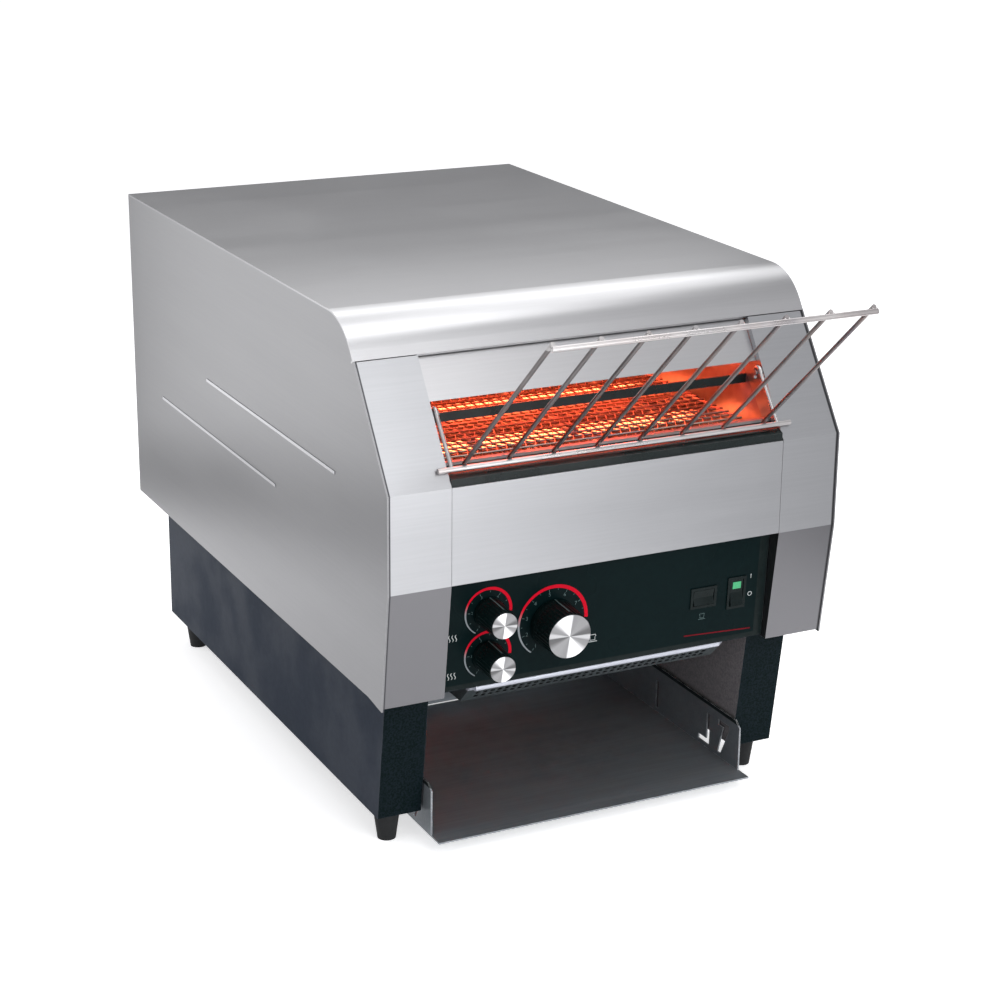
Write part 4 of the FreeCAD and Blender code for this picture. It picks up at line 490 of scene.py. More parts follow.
@dataclass(frozen=True)
class GlowFinish(Finish):
    """Red-hot sheath, cooler towards its ends, with brighter and duller stretches."""

    hot: Colour = (1.0, 0.1, 0.045)
    cool: Colour = (0.35, 0.015, 0.002)
    strength: float = 34.0
    lit_half: float = 0.132

    def light_up(self, wiring: Wiring, here: Feed, shader: bpy.types.Node) -> None:
        """Give off light between the cold ends."""
        across = wiring.math("ABSOLUTE", wiring.part(here, 0))
        inner = wiring.span(across, self.lit_half + 0.006, self.lit_half - 0.03)
        patch = wiring.span(wiring.noise(here, 22.0, 3.0), 0.3, 0.7, 0.0, 0.35)
        colour = wiring.blend(patch, self.hot, self.cool)
        wiring.feed(shader.inputs["Emission Color"], wiring.blend(inner, (0, 0, 0), colour))
        shader.inputs["Emission Strength"].default_value = self.strength


@dataclass(frozen=True)
class LampFinish(Finish):
    """A lit lens, with an uneven pattern of ribs in its light."""

    light: Colour = (0.004, 0.3, 0.13)
    strength: float = 0.8

    def light_up(self, wiring: Wiring, here: Feed, shader: bpy.types.Node) -> None:
        """Light with a slight uneven pattern of ribs."""
        ribs = wiring.noise(here, 700.0, 1.0)
        colour = wiring.blend(wiring.span(ribs, 0.3, 0.7, 0.0, 0.6), self.light, (0.0, 0.16, 0.05))
        wiring.feed(shader.inputs["Emission Color"], colour)
        shader.inputs["Emission Strength"].default_value = self.strength


@dataclass(frozen=True)
class SpunFinish(Finish):
    """Turned metal: fine rings over drawn sectors that imitate the photograph's highlight."""

    centre: Point = (0.0, 0.0, 0.0)
    sectors: tuple[tuple[float, float], ...] = (
        (0.0, 0.85), (0.03, 0.85), (0.05, 0.32), (0.2, 0.4), (0.33, 0.38), (0.43, 0.14), (0.5, 0.12),
        (0.525, 0.6), (0.575, 0.6), (0.61, 0.28), (0.7, 0.33), (0.79, 0.8), (1.0, 0.85),
    )

    def arm(self, wiring: Wiring, here: Feed) -> Socket:
        """The way out from the knob's axis."""
        return wiring.vector("SUBTRACT", here, self.centre)

    def light_up(self, wiring: Wiring, here: Feed, shader: bpy.types.Node) -> None:
        """Throw the light outwards across the rings."""
        wiring.feed(shader.inputs["Tangent"], wiring.vector("NORMALIZE", self.arm(wiring, here)))

    def local_tone(self, wiring: Wiring, here: Feed, tone: Feed) -> Feed:
        """Fine turning rings over the painted highlight sectors, which repeat every half turn."""
        arm = self.arm(wiring, here)
        reach = wiring.add("VectorMath", {0: arm}, operation="LENGTH").outputs["Value"]
        rings = wiring.noise(wiring.add("CombineXYZ", {0: reach}).outputs[0], 5200.0, 3.0)
        around = wiring.add(
            "Math", {0: wiring.part(arm, 0), 1: wiring.part(arm, 2)}, operation="ARCTAN2",
        ).outputs[0]
        place = wiring.add("Math", {0: wiring.times(around, 1 / math.pi)}, operation="FRACT").outputs[0]
        ramp = wiring.add("ValToRGB", {0: place})
        stops = ramp.color_ramp.elements
        while len(stops) < len(self.sectors):
            stops.new(0.5)
        for stop, (at, shade) in zip(stops, self.sectors):
            stop.position = at
            stop.color = (shade, shade, shade * 1.02, 1.0)
        return wiring.blend(wiring.span(rings, 0.3, 0.7, 0.0, 0.25), ramp.outputs[0], self.streak_tone)


@dataclass(frozen=True)
class InkFinish(Finish):
    """Printed ink, which may run from one colour to another round a dial."""

    end_tone: Colour | None = None

    def local_tone(self, wiring: Wiring, here: Feed, tone: Feed) -> Feed:
        """Second colour, reached just past nine o'clock on the way over the top."""
        if self.end_tone is None:
            return tone
        turned = wiring.add("TexGradient", {0: here}, gradient_type="RADIAL").outputs[1]
        shown = wiring.math("MULTIPLY", wiring.span(turned, 0.3, 0.31), wiring.span(turned, 1.0, 0.92, 0.1, 1.0))
        return wiring.blend(shown, tone, self.end_tone)


def made_of(kind: type[Finish], base: Finish, **changes: object) -> Finish:
    """A finish of another kind that starts from a base.

    Args:
        kind: The class of the new finish.
        base: The finish whose fields it takes.
        changes: Fields that differ.

    Returns:
        The new finish.
    """
    return kind(**{**base.__dict__, **changes})


CASING = Finish(
    "casing_steel", (0.4, 0.4, 0.41), (0.385, 0.385, 0.395), roughness=0.3, swing=0.006, stretch=(16, 700, 700),
    grain=0.08, haze=0.1, haze_tone=(0.34, 0.34, 0.35), haze_scale=5.0, wear=0.2, wear_tone=(0.6, 0.6, 0.62),
)
HOOD = made_of(HoodFinish, CASING, name="hood_steel", tone=(0.48, 0.48, 0.49), streak_tone=(0.465, 0.465, 0.475))
# side panels: a darker copy of the casing steel, painted shade, with painted highlights on the rib crests
SHADED_SIDE_STEEL = made_of(
    RibFinish, CASING, name="casing_side_shaded_steel", tone=(0.242, 0.242, 0.25), streak_tone=(0.235, 0.235, 0.243),
    stretch=(700, 16, 700),
)
CASING_FRONT = replace(
    CASING, name="casing_front_steel", tone=(0.41, 0.415, 0.43), streak_tone=(0.395, 0.4, 0.415),
)
# upper front plate: a lighter copy of the front steel, which paints light on it
LIT_PLATE_STEEL = replace(CASING_FRONT, name="plate_lit_steel", tone=(0.487, 0.485, 0.495), streak_tone=(0.47, 0.468, 0.478))
CHEEK = made_of(SeamFinish, CASING_FRONT, name="cheek_steel")
BASE = BaseFinish(
    "base_paint", (0.025, 0.033, 0.049), (0.021, 0.028, 0.042), metallic=0.0, roughness=0.5, moulded=700.0,
    grain=0.2, haze=0.04, haze_tone=(0.05, 0.06, 0.08), wear=0.3, wear_tone=(0.12, 0.13, 0.15), dust=0.12,
    specular=0.04,
)
CHASSIS = Finish(
    "chassis_steel", (0.42, 0.42, 0.42), (0.34, 0.34, 0.35), roughness=0.42, swing=0.12, stretch=(90, 90, 90),
    haze=0.4, haze_tone=(0.24, 0.22, 0.2), wear=0.2, dust=0.25, heat=0.35,
)
TRAY = TrayFinish(
    "tray_steel", (0.26, 0.285, 0.31), (0.225, 0.247, 0.27), metallic=0.6, roughness=0.4, swing=0.05,
    stretch=(14, 500, 500),
    haze=0.35, haze_tone=(0.1, 0.1, 0.11), wear=0.9, wear_tone=(0.75, 0.76, 0.78), wear_radius=0.0007, dust=0.15,
)
REFLECTOR = replace(
    CHASSIS, name="reflector_steel", tone=(0.6, 0.58, 0.55), streak_tone=(0.5, 0.48, 0.46), roughness=0.28,
)
SILL = Finish(
    "sill_black", (0.006, 0.012, 0.012), (0.004, 0.008, 0.008), metallic=0.0, roughness=0.3, moulded=500.0,
    haze=0.3, haze_tone=(0.02, 0.025, 0.025), wear=0.3, wear_tone=(0.12, 0.12, 0.12), specular=0.3,
)
PANEL_BLACK = replace(SILL, name="panel_black", specular=0.1)
OVERLAY = Finish(
    "overlay_foil", (0.002, 0.0085, 0.0092), (0.0016, 0.007, 0.0078), metallic=0.0, roughness=0.34, moulded=1200.0,
    grain=0.06, haze=0.2, haze_tone=(0.004, 0.012, 0.013), haze_scale=14.0, wear=0.0, specular=0.05,
)
GRILLE = GrilleFinish(
    "grille_steel", (0.07, 0.085, 0.09), (0.05, 0.062, 0.066), metallic=0.5, roughness=0.45, wear=0.35,
    wear_tone=(0.3, 0.31, 0.33), dust=0.08, haze=0.2, haze_tone=(0.05, 0.05, 0.055),
)
KNOB = Finish(
    "knob_plastic", (0.0025, 0.008, 0.008), (0.002, 0.006, 0.006), metallic=0.0, roughness=0.34, moulded=1500.0,
    grain=0.2, haze=0.2, haze_tone=(0.008, 0.014, 0.014), wear=0.2, wear_tone=(0.04, 0.05, 0.05), specular=0.12,
)
SWITCH = replace(KNOB, name="switch_plastic", tone=(0.004, 0.009, 0.0095), roughness=0.3, specular=0.14)
DISC = SpunFinish(
    "knob_disc", (0.34, 0.34, 0.35), (0.27, 0.27, 0.28), roughness=0.36, swing=0.02, grain=0.05, haze=0.03,
    haze_tone=(0.4, 0.4, 0.4), wear=0.0, anisotropy=0.9,
)
LENS = LampFinish(
    "lamp_green", (0.01, 0.2, 0.06), (0.006, 0.14, 0.04), metallic=0.0, roughness=0.2, wear=0.0, haze=0.1,
    haze_tone=(0.02, 0.2, 0.08), coat=0.5,
)
CONTROL_CAN = replace(CHASSIS, name="control_can", heat=0.0, tone=(0.5, 0.5, 0.48), streak_tone=(0.4, 0.4, 0.39))
RUBBER = Finish(
    "foot_rubber", (0.012, 0.013, 0.014), (0.008, 0.009, 0.01), metallic=0.0, roughness=0.7, moulded=800.0,
    grain=0.35, haze=0.4, haze_tone=(0.03, 0.03, 0.03), wear=0.3, wear_tone=(0.05, 0.05, 0.05), dust=0.3,
    specular=0.3,
)
BELT_WIRE = Finish(
    "belt_wire", (0.5, 0.44, 0.4), (0.36, 0.31, 0.28), roughness=0.36, stretch=(60, 900, 900), haze=0.4,
    haze_tone=(0.2, 0.15, 0.12), wear=0.0, heat=0.35,
)
SHAFT = Finish(
    "shaft_steel", (0.55, 0.55, 0.56), (0.45, 0.45, 0.46), roughness=0.24, stretch=(900, 60, 60), haze=0.3,
    haze_tone=(0.3, 0.27, 0.24), wear=0.2,
)
BRONZE = Finish(
    "bearing_bronze", (0.5, 0.32, 0.14), (0.4, 0.25, 0.11), roughness=0.36, stretch=(500, 500, 500), haze=0.4,
    haze_tone=(0.22, 0.14, 0.07), wear=0.4, wear_tone=(0.7, 0.5, 0.26),
)
CHAIN = Finish(
    "chain_steel", (0.24, 0.235, 0.23), (0.16, 0.155, 0.15), roughness=0.34, stretch=(300, 300, 300), haze=0.5,
    haze_tone=(0.07, 0.06, 0.05), wear=0.5, wear_tone=(0.5, 0.5, 0.5), wear_radius=0.0004,
)
MOTOR = Finish(
    "motor_paint", (0.05, 0.055, 0.06), (0.035, 0.04, 0.045), metallic=0.2, roughness=0.5, moulded=600.0,
    grain=0.3, haze=0.3, haze_tone=(0.1, 0.1, 0.1), wear=0.5, wear_tone=(0.3, 0.3, 0.3), dust=0.3,
)
UPPER_HEATER = GlowFinish(
    "upper_heater_sheath", (0.12, 0.06, 0.04), (0.08, 0.04, 0.03), metallic=0.3, roughness=0.5, wear=0.0, haze=0.3,
    haze_tone=(0.2, 0.08, 0.05),
)
LOWER_HEATER = replace(UPPER_HEATER, name="lower_heater_sheath", hot=(1.0, 0.17, 0.06), strength=11.0)
CERAMIC = Finish(
    "bushing_ceramic", (0.72, 0.69, 0.62), (0.64, 0.6, 0.53), metallic=0.0, roughness=0.4, moulded=900.0,
    haze=0.4, haze_tone=(0.5, 0.4, 0.28), wear=0.2, wear_tone=(0.8, 0.78, 0.74),
)
FAN_PLASTIC = replace(KNOB, name="fan_plastic", tone=(0.02, 0.02, 0.021), roughness=0.42, dust=0.35)
BOARD = Finish(
    "board_green", (0.02, 0.14, 0.06), (0.015, 0.1, 0.045), metallic=0.0, roughness=0.34, moulded=300.0,
    haze=0.3, haze_tone=(0.06, 0.16, 0.09), wear=0.3, wear_tone=(0.3, 0.3, 0.16), dust=0.2, coat=0.3,
)
GLAND = replace(KNOB, name="gland_plastic", tone=(0.016, 0.016, 0.017), roughness=0.46)
SCREW = replace(SHAFT, name="screw_steel", stretch=(500, 500, 500), wear=0.5, wear_tone=(0.75, 0.75, 0.76))
RACK_BAR = RackFinish(
    "rack_wire", (0.23, 0.215, 0.215), (0.17, 0.158, 0.158), roughness=0.3, stretch=(300, 40, 40), haze=0.3,
    haze_tone=(0.2, 0.16, 0.14), wear=0.0, heat=0.1,
)
RACK_ROD = Finish(
    "rack_rod", (0.5, 0.485, 0.485), (0.42, 0.405, 0.405), roughness=0.28, stretch=(40, 300, 300), haze=0.3,
    haze_tone=(0.4, 0.37, 0.36), wear=0.0,
)
WHITE_INK = InkFinish(
    "white_ink", (0.5, 0.53, 0.53), (0.42, 0.45, 0.45), metallic=0.0, roughness=0.5, moulded=1500.0, wear=0.0,
    haze=0.2, haze_tone=(0.3, 0.32, 0.32), specular=0.3,
)
GREY_INK = replace(
    WHITE_INK, name="grey_ink", tone=(0.08, 0.13, 0.13), streak_tone=(0.06, 0.1, 0.1),
    haze_tone=(0.05, 0.08, 0.08),
)
RED_INK = replace(
    WHITE_INK, name="red_ink", specular=0.05, tone=(0.6, 0.006, 0.022), streak_tone=(0.56, 0.006, 0.022),
    haze_tone=(0.4, 0.01, 0.02),
)
DARK_RED_INK = replace(
    RED_INK, name="dark_red_ink", tone=(0.16, 0.006, 0.012), streak_tone=(0.12, 0.005, 0.01),
    haze_tone=(0.1, 0.01, 0.01),
)
DIAL_INK = replace(
    WHITE_INK, name="dial_ink", specular=0.05, haze=0.0, moulded=0.0, tone=(0.27, 0.3, 0.32),
    streak_tone=(0.23, 0.26, 0.28), end_tone=(0.58, 0.004, 0.02),
)


class Piece:
    """Collects the faces of one new piece and puts it on its body."""

    def __init__(self, name: str) -> None:
        """Start an empty piece."""
        self.name = name
        self.mesh = bmesh.new()

    def ring(self, points: Sequence[Vector]) -> list[bmesh.types.BMVert]:
        """New vertices at the points."""
        return [self.mesh.verts.new(point) for point in points]

    def join(self, first: list, second: list, closed: bool = True) -> None:
        """Faces between two rings of the same count.

        Args:
            first: Vertices of one ring.
            second: Vertices of the next ring.
            closed: Whether the rings run all the way round.
        """
        count = len(first)
        for index in range(count if closed else count - 1):
            after = (index + 1) % count
            self.mesh.faces.new((first[index], first[after], second[after], second[index]))

    def tube(self, path: Sequence[Vector], radius: float, sides: int = 8, closed: bool = False) -> None:
        """A round wire along points.

        Args:
            path: The wire's centre line.
            radius: Its radius.
            sides: Faces round it.
            closed: Whether the end joins the start.
        """
        path = [Vector(point) for point in path]
        count = len(path)
        side = None
        rings = []
        for index, point in enumerate(path):
            before = path[index - 1] if index or closed else point
            after = path[(index + 1) % count] if index < count - 1 or closed else point
            along = (after - before).normalized()
            if side is None:
                side = along.orthogonal().normalized()
            side = (side - along * side.dot(along)).normalized()
            other = along.cross(side)
            turns = [2 * math.pi * step / sides for step in range(sides)]
            ways = [side * math.cos(turn) + other * math.sin(turn) for turn in turns]
            rings.append(self.ring([point + way * radius for way in ways]))
        for first, second in zip(rings, rings[1:] + rings[:1] if closed else rings[1:]):
            self.join(first, second)
        if not closed:
            self.mesh.faces.new(list(reversed(rings[0])))
            self.mesh.faces.new(rings[-1])

    def turn(
        self, rows: Sequence[tuple[float, float]], segments: int, flute: Callable[[int, float], float],
    ) -> None:
        """A turned form about Z, closed at both ends.

        Args:
            rows: Radius and height of each ring, from the foot up.
            segments: Points round each ring.
            flute: Gives, for a row's number and a turn in radians, how far in the surface is cut.
        """
        rings = []
        for number, (radius, height) in enumerate(rows):
            turns = [2 * math.pi * step / segments for step in range(segments)]
            reach = [radius - flute(number, turn) for turn in turns]
            places = [(far * math.cos(turn), far * math.sin(turn), height) for far, turn in zip(reach, turns)]
            rings.append(self.ring([Vector(place) for place in places]))
        for first, second in zip(rings, rings[1:]):
            self.join(first, second)
        self.mesh.faces.new(list(reversed(rings[0])))
        self.mesh.faces.new(rings[-1])

    def slab(
        self, outline: Sequence[tuple[float, float]], low: float, high: float, place: Matrix | None = None,
    ) -> None:
        """A flat plate with an outline in its own plane.

        Args:
            outline: Corner points, counter-clockwise.
            low: Height of its underside.
            high: Height of its top.
            place: Where the plate stands, if not at the piece's origin.
        """
        place = place or Matrix.Identity(4)
        below = self.ring([place @ Vector((x, y, low)) for x, y in outline])
        above = self.ring([place @ Vector((x, y, high)) for x, y in outline])
        self.join(below, above)
        self.mesh.faces.new(list(reversed(below)))
        self.mesh.faces.new(above)

    def blob(self, centre: Vector, size: Point) -> None:
        """A small rounded lump, such as a weld."""
        place = Matrix.Translation(centre) @ Matrix.Diagonal((*size, 1.0))
        bmesh.ops.create_icosphere(self.mesh, subdivisions=2, radius=1.0, matrix=place)

    def put(
        self, body: Body, finish: Finish, place: Matrix | None = None,
        stands_for: Sequence[str] = (), smooth: bool = True,
    ) -> bpy.types.Object:
        """Make the object and set it on its body.

        Args:
            body: The body that it rides on.
            finish: Its surface.
            place: Its place in the frame.
            stands_for: CAD nodes that it replaces.
            smooth: Whether its faces shade as one surface.

        Returns:
            The new object.
        """
        data = bpy.data.meshes.new(self.name)
        bmesh.ops.recalc_face_normals(self.mesh, faces=self.mesh.faces[:])
        self.mesh.to_mesh(data)
        self.mesh.free()
        for polygon in data.polygons:
            polygon.use_smooth = smooth
        thing = bpy.data.objects.new(self.name, data)
        bpy.context.scene.collection.objects.link(thing)
        thing.matrix_world = place or Matrix.Identity(4)
        thing.data.materials.append(finish.material())
        if smooth:
            data.set_sharp_from_angle(angle=SHARP_ANGLE)
        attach(thing, body.value)
        if stands_for:
            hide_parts(*stands_for)
        log.info("%s: %d faces, on %s", self.name, len(data.polygons), body.value)
        return thing


def dress(finish: Finish, *nodes: str) -> None:
    """Give CAD nodes their finish.

    Args:
        finish: The surface.
        nodes: Names of the nodes.
    """
    for name in nodes:
        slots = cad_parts[name].data.materials
        slots.clear()
        slots.append(finish.material())
        log.info("%s: %s", name, finish.name)


@dataclass
class Casing:
    """The steel casing: hood, sides, cheeks, front plates and the rear."""

    def build(self) -> None:
        """Dress the sheets, each along its own brushing."""
        dress(HOOD, "top_hood")
        dress(CASING, "rear_panel")
        dress(SHADED_SIDE_STEEL, "left_side_panel", "right_side_panel")
        dress(LIT_PLATE_STEEL, "upper_front_plate")
        dress(CASING_FRONT, "centre_front_panel")
        dress(CHEEK, "left_front_cheek", "right_front_cheek")
        dress(CHASSIS, "left_chassis_side", "right_chassis_side", "control_bay_wall")
        dress(SILL, "feed_sill", "mouth_guard")
        dress(SCREW, "rear_screws")
        dress(GLAND, "cable_gland")


@dataclass
class Base:
    """The slate base with its feet, runners and tray."""

    def build(self) -> None:
        """Dress the base and the tray's sheets."""
        dress(BASE, "left_base_channel", "right_base_channel", "body_pan", "left_tray_runner", "right_tray_runner")
        dress(replace(BASE, name="rear_wall_paint", inner_half=0.0), "rear_base_wall")
        dress(RUBBER, "rubber_feet")
        dress(TRAY, "toast_tray")
        dress(replace(TRAY, name="ramp_steel", hem=1.0), "discharge_ramp")
        dress(GRILLE, "vent_grille")


@dataclass
class Panel:
    """The leaning control panel's own plane."""

    top_height: float = 0.2197
    top_back: float = 0.0125
    lean: float = 0.0051 / 0.0865
    out: Vector = field(default_factory=lambda: Vector((0.0, -0.998267, -0.058857)))
    up: Vector = field(default_factory=lambda: Vector((0.0, -0.058857, 0.998267)))

    def at(self, x: float, height: float, out: float = 0.0) -> Matrix:
        """A place on the panel: X to the right, Y up along it, Z out of it.

        Args:
            x: Place from the middle, to the right.
            height: Height over the counter.
            out: Distance in front of the panel's sheet.

        Returns:
            The place as a matrix.
        """
        back = FRONT_FACE + self.top_back + (self.top_height - height) * self.lean
        origin = Vector((x, back, height)) + self.out * out
        place = Matrix((Vector((1, 0, 0)), self.up, self.out)).transposed().to_4x4()
        place.translation = origin
        return place

    def lay(self, piece: Piece, ink: Finish, x: float, height: float) -> None:
        """Print a piece on the foil, centred on a place of it."""
        piece.put(Body.HOUSING, ink, self.at(x, height, FOIL_FACE), smooth=False)


@dataclass
class Dial:
    """A printed scale round one knob."""

    name: str
    x: float
    height: float
    radius: float
    start: float
    end: float
    marks: int
    figure: float
    thick: tuple[float, float] = (0.0007, 0.0023)
    steps: int = 72
    tick_half: float = 0.00022
    tick_gap: float = 0.0018
    tick_long: float = 0.0019
    tick_short: float = 0.0011
    figure_gap: float = 0.0042

    def arc(self, panel: Panel) -> None:
        """The sweep that grows from a thin white line to a broad red band."""
        piece = Piece(self.name + "_sweep")
        inner, outer = [], []
        for step in range(self.steps + 1):
            share = step / self.steps
            turn = math.radians(90 - self.start - (self.end - self.start) * share)
            wide = self.thick[0] + (self.thick[1] - self.thick[0]) * min(1.0, share * 1.5)
            for far, row in ((self.radius - wide / 2, inner), (self.radius + wide / 2, outer)):
                row.append((far * math.cos(turn), far * math.sin(turn)))
        for height in (0.0, INK_THICK):
            first = piece.ring([Vector((x, y, height)) for x, y in inner])
            second = piece.ring([Vector((x, y, height)) for x, y in outer])
            piece.join(first, second, closed=False)
        panel.lay(piece, DIAL_INK, self.x, self.height)

    def ticks(self, panel: Panel) -> None:
        """Short marks inside the sweep."""
        piece = Piece(self.name + "_ticks")
        for index in range(self.marks * 2 - 1):
            share = index / (self.marks * 2 - 2)
            turn = math.radians(-self.start - (self.end - self.start) * share)
            long = self.tick_short if index % 2 else self.tick_long
            far, half = self.radius - self.tick_gap, self.tick_half
            corners = ((-half, far - long), (half, far - long), (half, far), (-half, far))
            piece.slab(corners, 0.0, INK_THICK, Matrix.Rotation(turn, 4, "Z"))
        panel.lay(piece, GREY_INK, self.x, self.height)

    def figures(self, panel: Panel) -> None:
        """Plain numbers inside the marks."""
        for index in range(self.marks):
            share = index / (self.marks - 1)
            turn = math.radians(90 - self.start - (self.end - self.start) * share)
            far = self.radius - self.figure_gap - self.figure / 2
            place = panel.at(self.x + far * math.cos(turn), self.height + far * math.sin(turn), FOIL_FACE)
            write(f"{self.name}_figure_{index + 1}", str(index + 1), self.figure, GREY_INK, place)

    def build(self, panel: Panel) -> None:
        """Print the whole scale."""
        self.arc(panel)
        self.ticks(panel)
        self.figures(panel)


def write(name: str, words: str, size: float, ink: Finish, place: Matrix) -> bpy.types.Object:
    """Print a figure or letter, centred on a place.

    Args:
        name: The piece's name.
        words: What it says.
        size: Height of the letters.
        ink: Its surface.
        place: Its place, Z out of the surface.

    Returns:
        The new object.
    """
    curve = bpy.data.curves.new(name + "_outline", "FONT")
    curve.body = words
    curve.size = size * LETTER_SCALE
    curve.align_x = "CENTER"
    curve.align_y = "CENTER"
    curve.extrude = INK_THICK / 2
    curve.resolution_u = 3
    drawn = bpy.data.objects.new(name + "_outline", curve)
    bpy.context.scene.collection.objects.link(drawn)
    data = bpy.data.meshes.new_from_object(drawn.evaluated_get(bpy.context.evaluated_depsgraph_get()))
    bpy.data.objects.remove(drawn)
    thing = bpy.data.objects.new(name, data)
    bpy.context.scene.collection.objects.link(thing)
    thing.matrix_world = place
    data.materials.clear()
    data.materials.append(ink.material())
    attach(thing, Body.HOUSING.value)
    log.info("%s: printed", name)
    return thing


@dataclass
class ControlFront:
    """The control panel with its printed foil, dials, switches and lamp."""

    panel: Panel = field(default_factory=Panel)
    wave_pitch: float = 0.0026
    wave_rise: float = 0.0026
    wave_sway: float = 0.0006
    wave_half: float = 0.0003
    wave_steps: int = 12

    def dials(self) -> None:
        """The three printed scales."""
        Dial("upper_small_dial", -0.100, 0.191, 0.018, -148, 96, 5, 0.0022).build(self.panel)
        Dial("lower_small_dial", -0.0993, 0.1573, 0.018, -148, 96, 5, 0.0022).build(self.panel)
        Dial("large_dial", -0.0475, 0.1746, 0.0275, -143, 92, 8, 0.0032, (0.0009, 0.0028)).build(self.panel)

    def line(
        self, name: str, start: tuple[float, float], end: tuple[float, float], wide: float, ink: Finish,
    ) -> None:
        """A straight printed line between two places on the foil.

        Args:
            name: The piece's name.
            start: Its first end, as x and height.
            end: Its other end.
            wide: Its width.
            ink: Its colour.
        """
        first, last = Vector(start), Vector(end)
        long = (last - first).length
        turn = math.atan2(last.y - first.y, last.x - first.x)
        piece = Piece(name)
        piece.slab(((0, -wide / 2), (long, -wide / 2), (long, wide / 2), (0, wide / 2)), 0.0, INK_THICK)
        place = self.panel.at(first.x, first.y, FOIL_FACE) @ Matrix.Rotation(turn, 4, "Z")
        piece.put(Body.HOUSING, ink, place, smooth=False)

    def wave_marks(self, name: str, x: float, height: float) -> None:
        """Three rising waves, the sign for heat.

        Args:
            name: The piece's name.
            x: Place of the middle wave.
            height: Height of its middle.
        """
        piece = Piece(name)
        for shift in (-self.wave_pitch, 0.0, self.wave_pitch):
            left, right = [], []
            for step in range(self.wave_steps + 1):
                up = -self.wave_rise + 2 * self.wave_rise * step / self.wave_steps
                sway = self.wave_sway * math.sin(step / self.wave_steps * 2 * math.pi) + shift
                left.append(Vector((sway - self.wave_half, up, INK_THICK)))
                right.append(Vector((sway + self.wave_half, up, INK_THICK)))
            piece.join(piece.ring(left), piece.ring(right), closed=False)
        self.panel.lay(piece, WHITE_INK, x, height)

    def slice_mark(self, name: str, x: float, height: float, size: float, ink: Finish) -> None:
        """A slice in outline over a line, the sign for the belt.

        Args:
            name: The piece's name.
            x: Place of its middle.
            height: Height of its middle.
            size: Its width.
            ink: Its colour.
        """
        piece = Piece(name)
        shrink, middle = 0.82, 0.08
        outer = [Vector((a * size, b * size, INK_THICK)) for a, b in SLICE]
        inner = [Vector(
            (a * size * shrink, (b - middle) * size * shrink + middle * size, INK_THICK),
        ) for a, b in SLICE]
        piece.join(piece.ring(outer), piece.ring(inner))
        left, right, foot, top = (share * size for share in (-0.6, 0.6, -0.5, -0.42))
        piece.slab(((left, foot), (right, foot), (right, top), (left, top)), 0.0, INK_THICK)
        self.panel.lay(piece, ink, x, height)

    def build(self) -> None:
        """Dress the panel and print its foil."""
        dress(PANEL_BLACK, "control_panel")
        dress(OVERLAY, "control_overlay")
        dress(CONTROL_CAN, "rotary_controls")
        dress(SWITCH, "feed_rocker", "power_rocker", "switch_housings")
        dress(LENS, "power_lamp_lens")
        self.dials()
        self.line("foil_top_line", (-0.1325, 0.2164), (0.0745, 0.2164), 0.0009, DARK_RED_INK)
        self.line("foil_red_line", (0.065, 0.1432), (0.1235, 0.1404), 0.001, DARK_RED_INK)
        self.wave_marks("upper_wave_marks", -0.1275, 0.1745)
        self.wave_marks("lower_wave_marks", -0.1275, 0.1448)
        self.slice_mark("speed_slice_mark", -0.0135, 0.1555, 0.0062, WHITE_INK)
        self.slice_mark("feed_slice_mark", 0.0796, 0.1573, 0.005, GREY_INK)
        for name, words, height in (("power_on_mark", "I", 0.1835), ("power_off_mark", "O", 0.1690)):
            write(name, words, 0.0038, WHITE_INK, self.panel.at(0.1207, height, FOIL_FACE))


@dataclass
class Knob:
    """A fluted plastic knob with a spun disc in its face."""

    name: str
    body: Body
    x: float
    height: float
    radius: float
    top_radius: float
    disc_radius: float
    flutes: int
    seat: float = 0.0012
    reach: float = 0.027
    flute_depth: float = 0.0005
    bore: float = 0.003
    stem_end: float = -0.0125
    index_half: float = 0.0005
    index_thick: float = 0.00012

    def build(self, panel: Panel) -> None:
        """Turn the knob, mark its index and dress its disc."""
        span = self.reach - self.seat
        rows = [
            (self.bore, self.stem_end), (self.bore, self.seat), (self.radius - 0.0008, self.seat),
            (self.radius, self.seat + 0.0006),
            (self.radius, self.seat + span * 0.16), (self.radius - 0.0004, self.seat + span * 0.19),
            (self.radius - 0.0005, self.seat + span * 0.24), (self.top_radius + 0.0001, self.reach - 0.0016),
            (self.top_radius - 0.0002, self.reach - 0.0007), (self.top_radius - 0.0006, self.reach - 0.0001),
            (self.disc_radius + 0.0002, self.reach), (self.disc_radius + 0.0001, self.reach - 0.0012),
        ]

        def flute(row: int, turn: float) -> float:
            """Depth of the grip's flutes on the rows between skirt and rim."""
            if row not in (6, 7):
                return 0.0
            return self.flute_depth * (0.5 + 0.5 * math.cos(turn * self.flutes)) ** 0.6

        piece = Piece(self.name + "_fluted")
        piece.turn(rows, self.flutes * 8, flute)
        place = panel.at(self.x, self.height)
        piece.put(self.body, KNOB, place, stands_for=[self.name])
        mark = Piece(self.name + "_index")
        high = self.seat + span * 0.9
        low = self.seat + 0.0008
        half = self.index_half
        mark.slab(((-half, low), (half, low), (half, high), (-half, high)), 0.0, self.index_thick)
        upright = Matrix.Rotation(math.radians(90), 4, "X") @ Matrix.Rotation(math.pi, 4, "Y")
        stand = Matrix.Translation((0, self.radius + 0.00002, 0)) @ upright
        mark.put(self.body, GREY_INK, place @ stand, smooth=False)
        centre = panel.at(self.x, self.height, self.reach).translation
        dress(replace(DISC, name=self.name + "_disc", centre=tuple(centre)), self.name + "_cap")


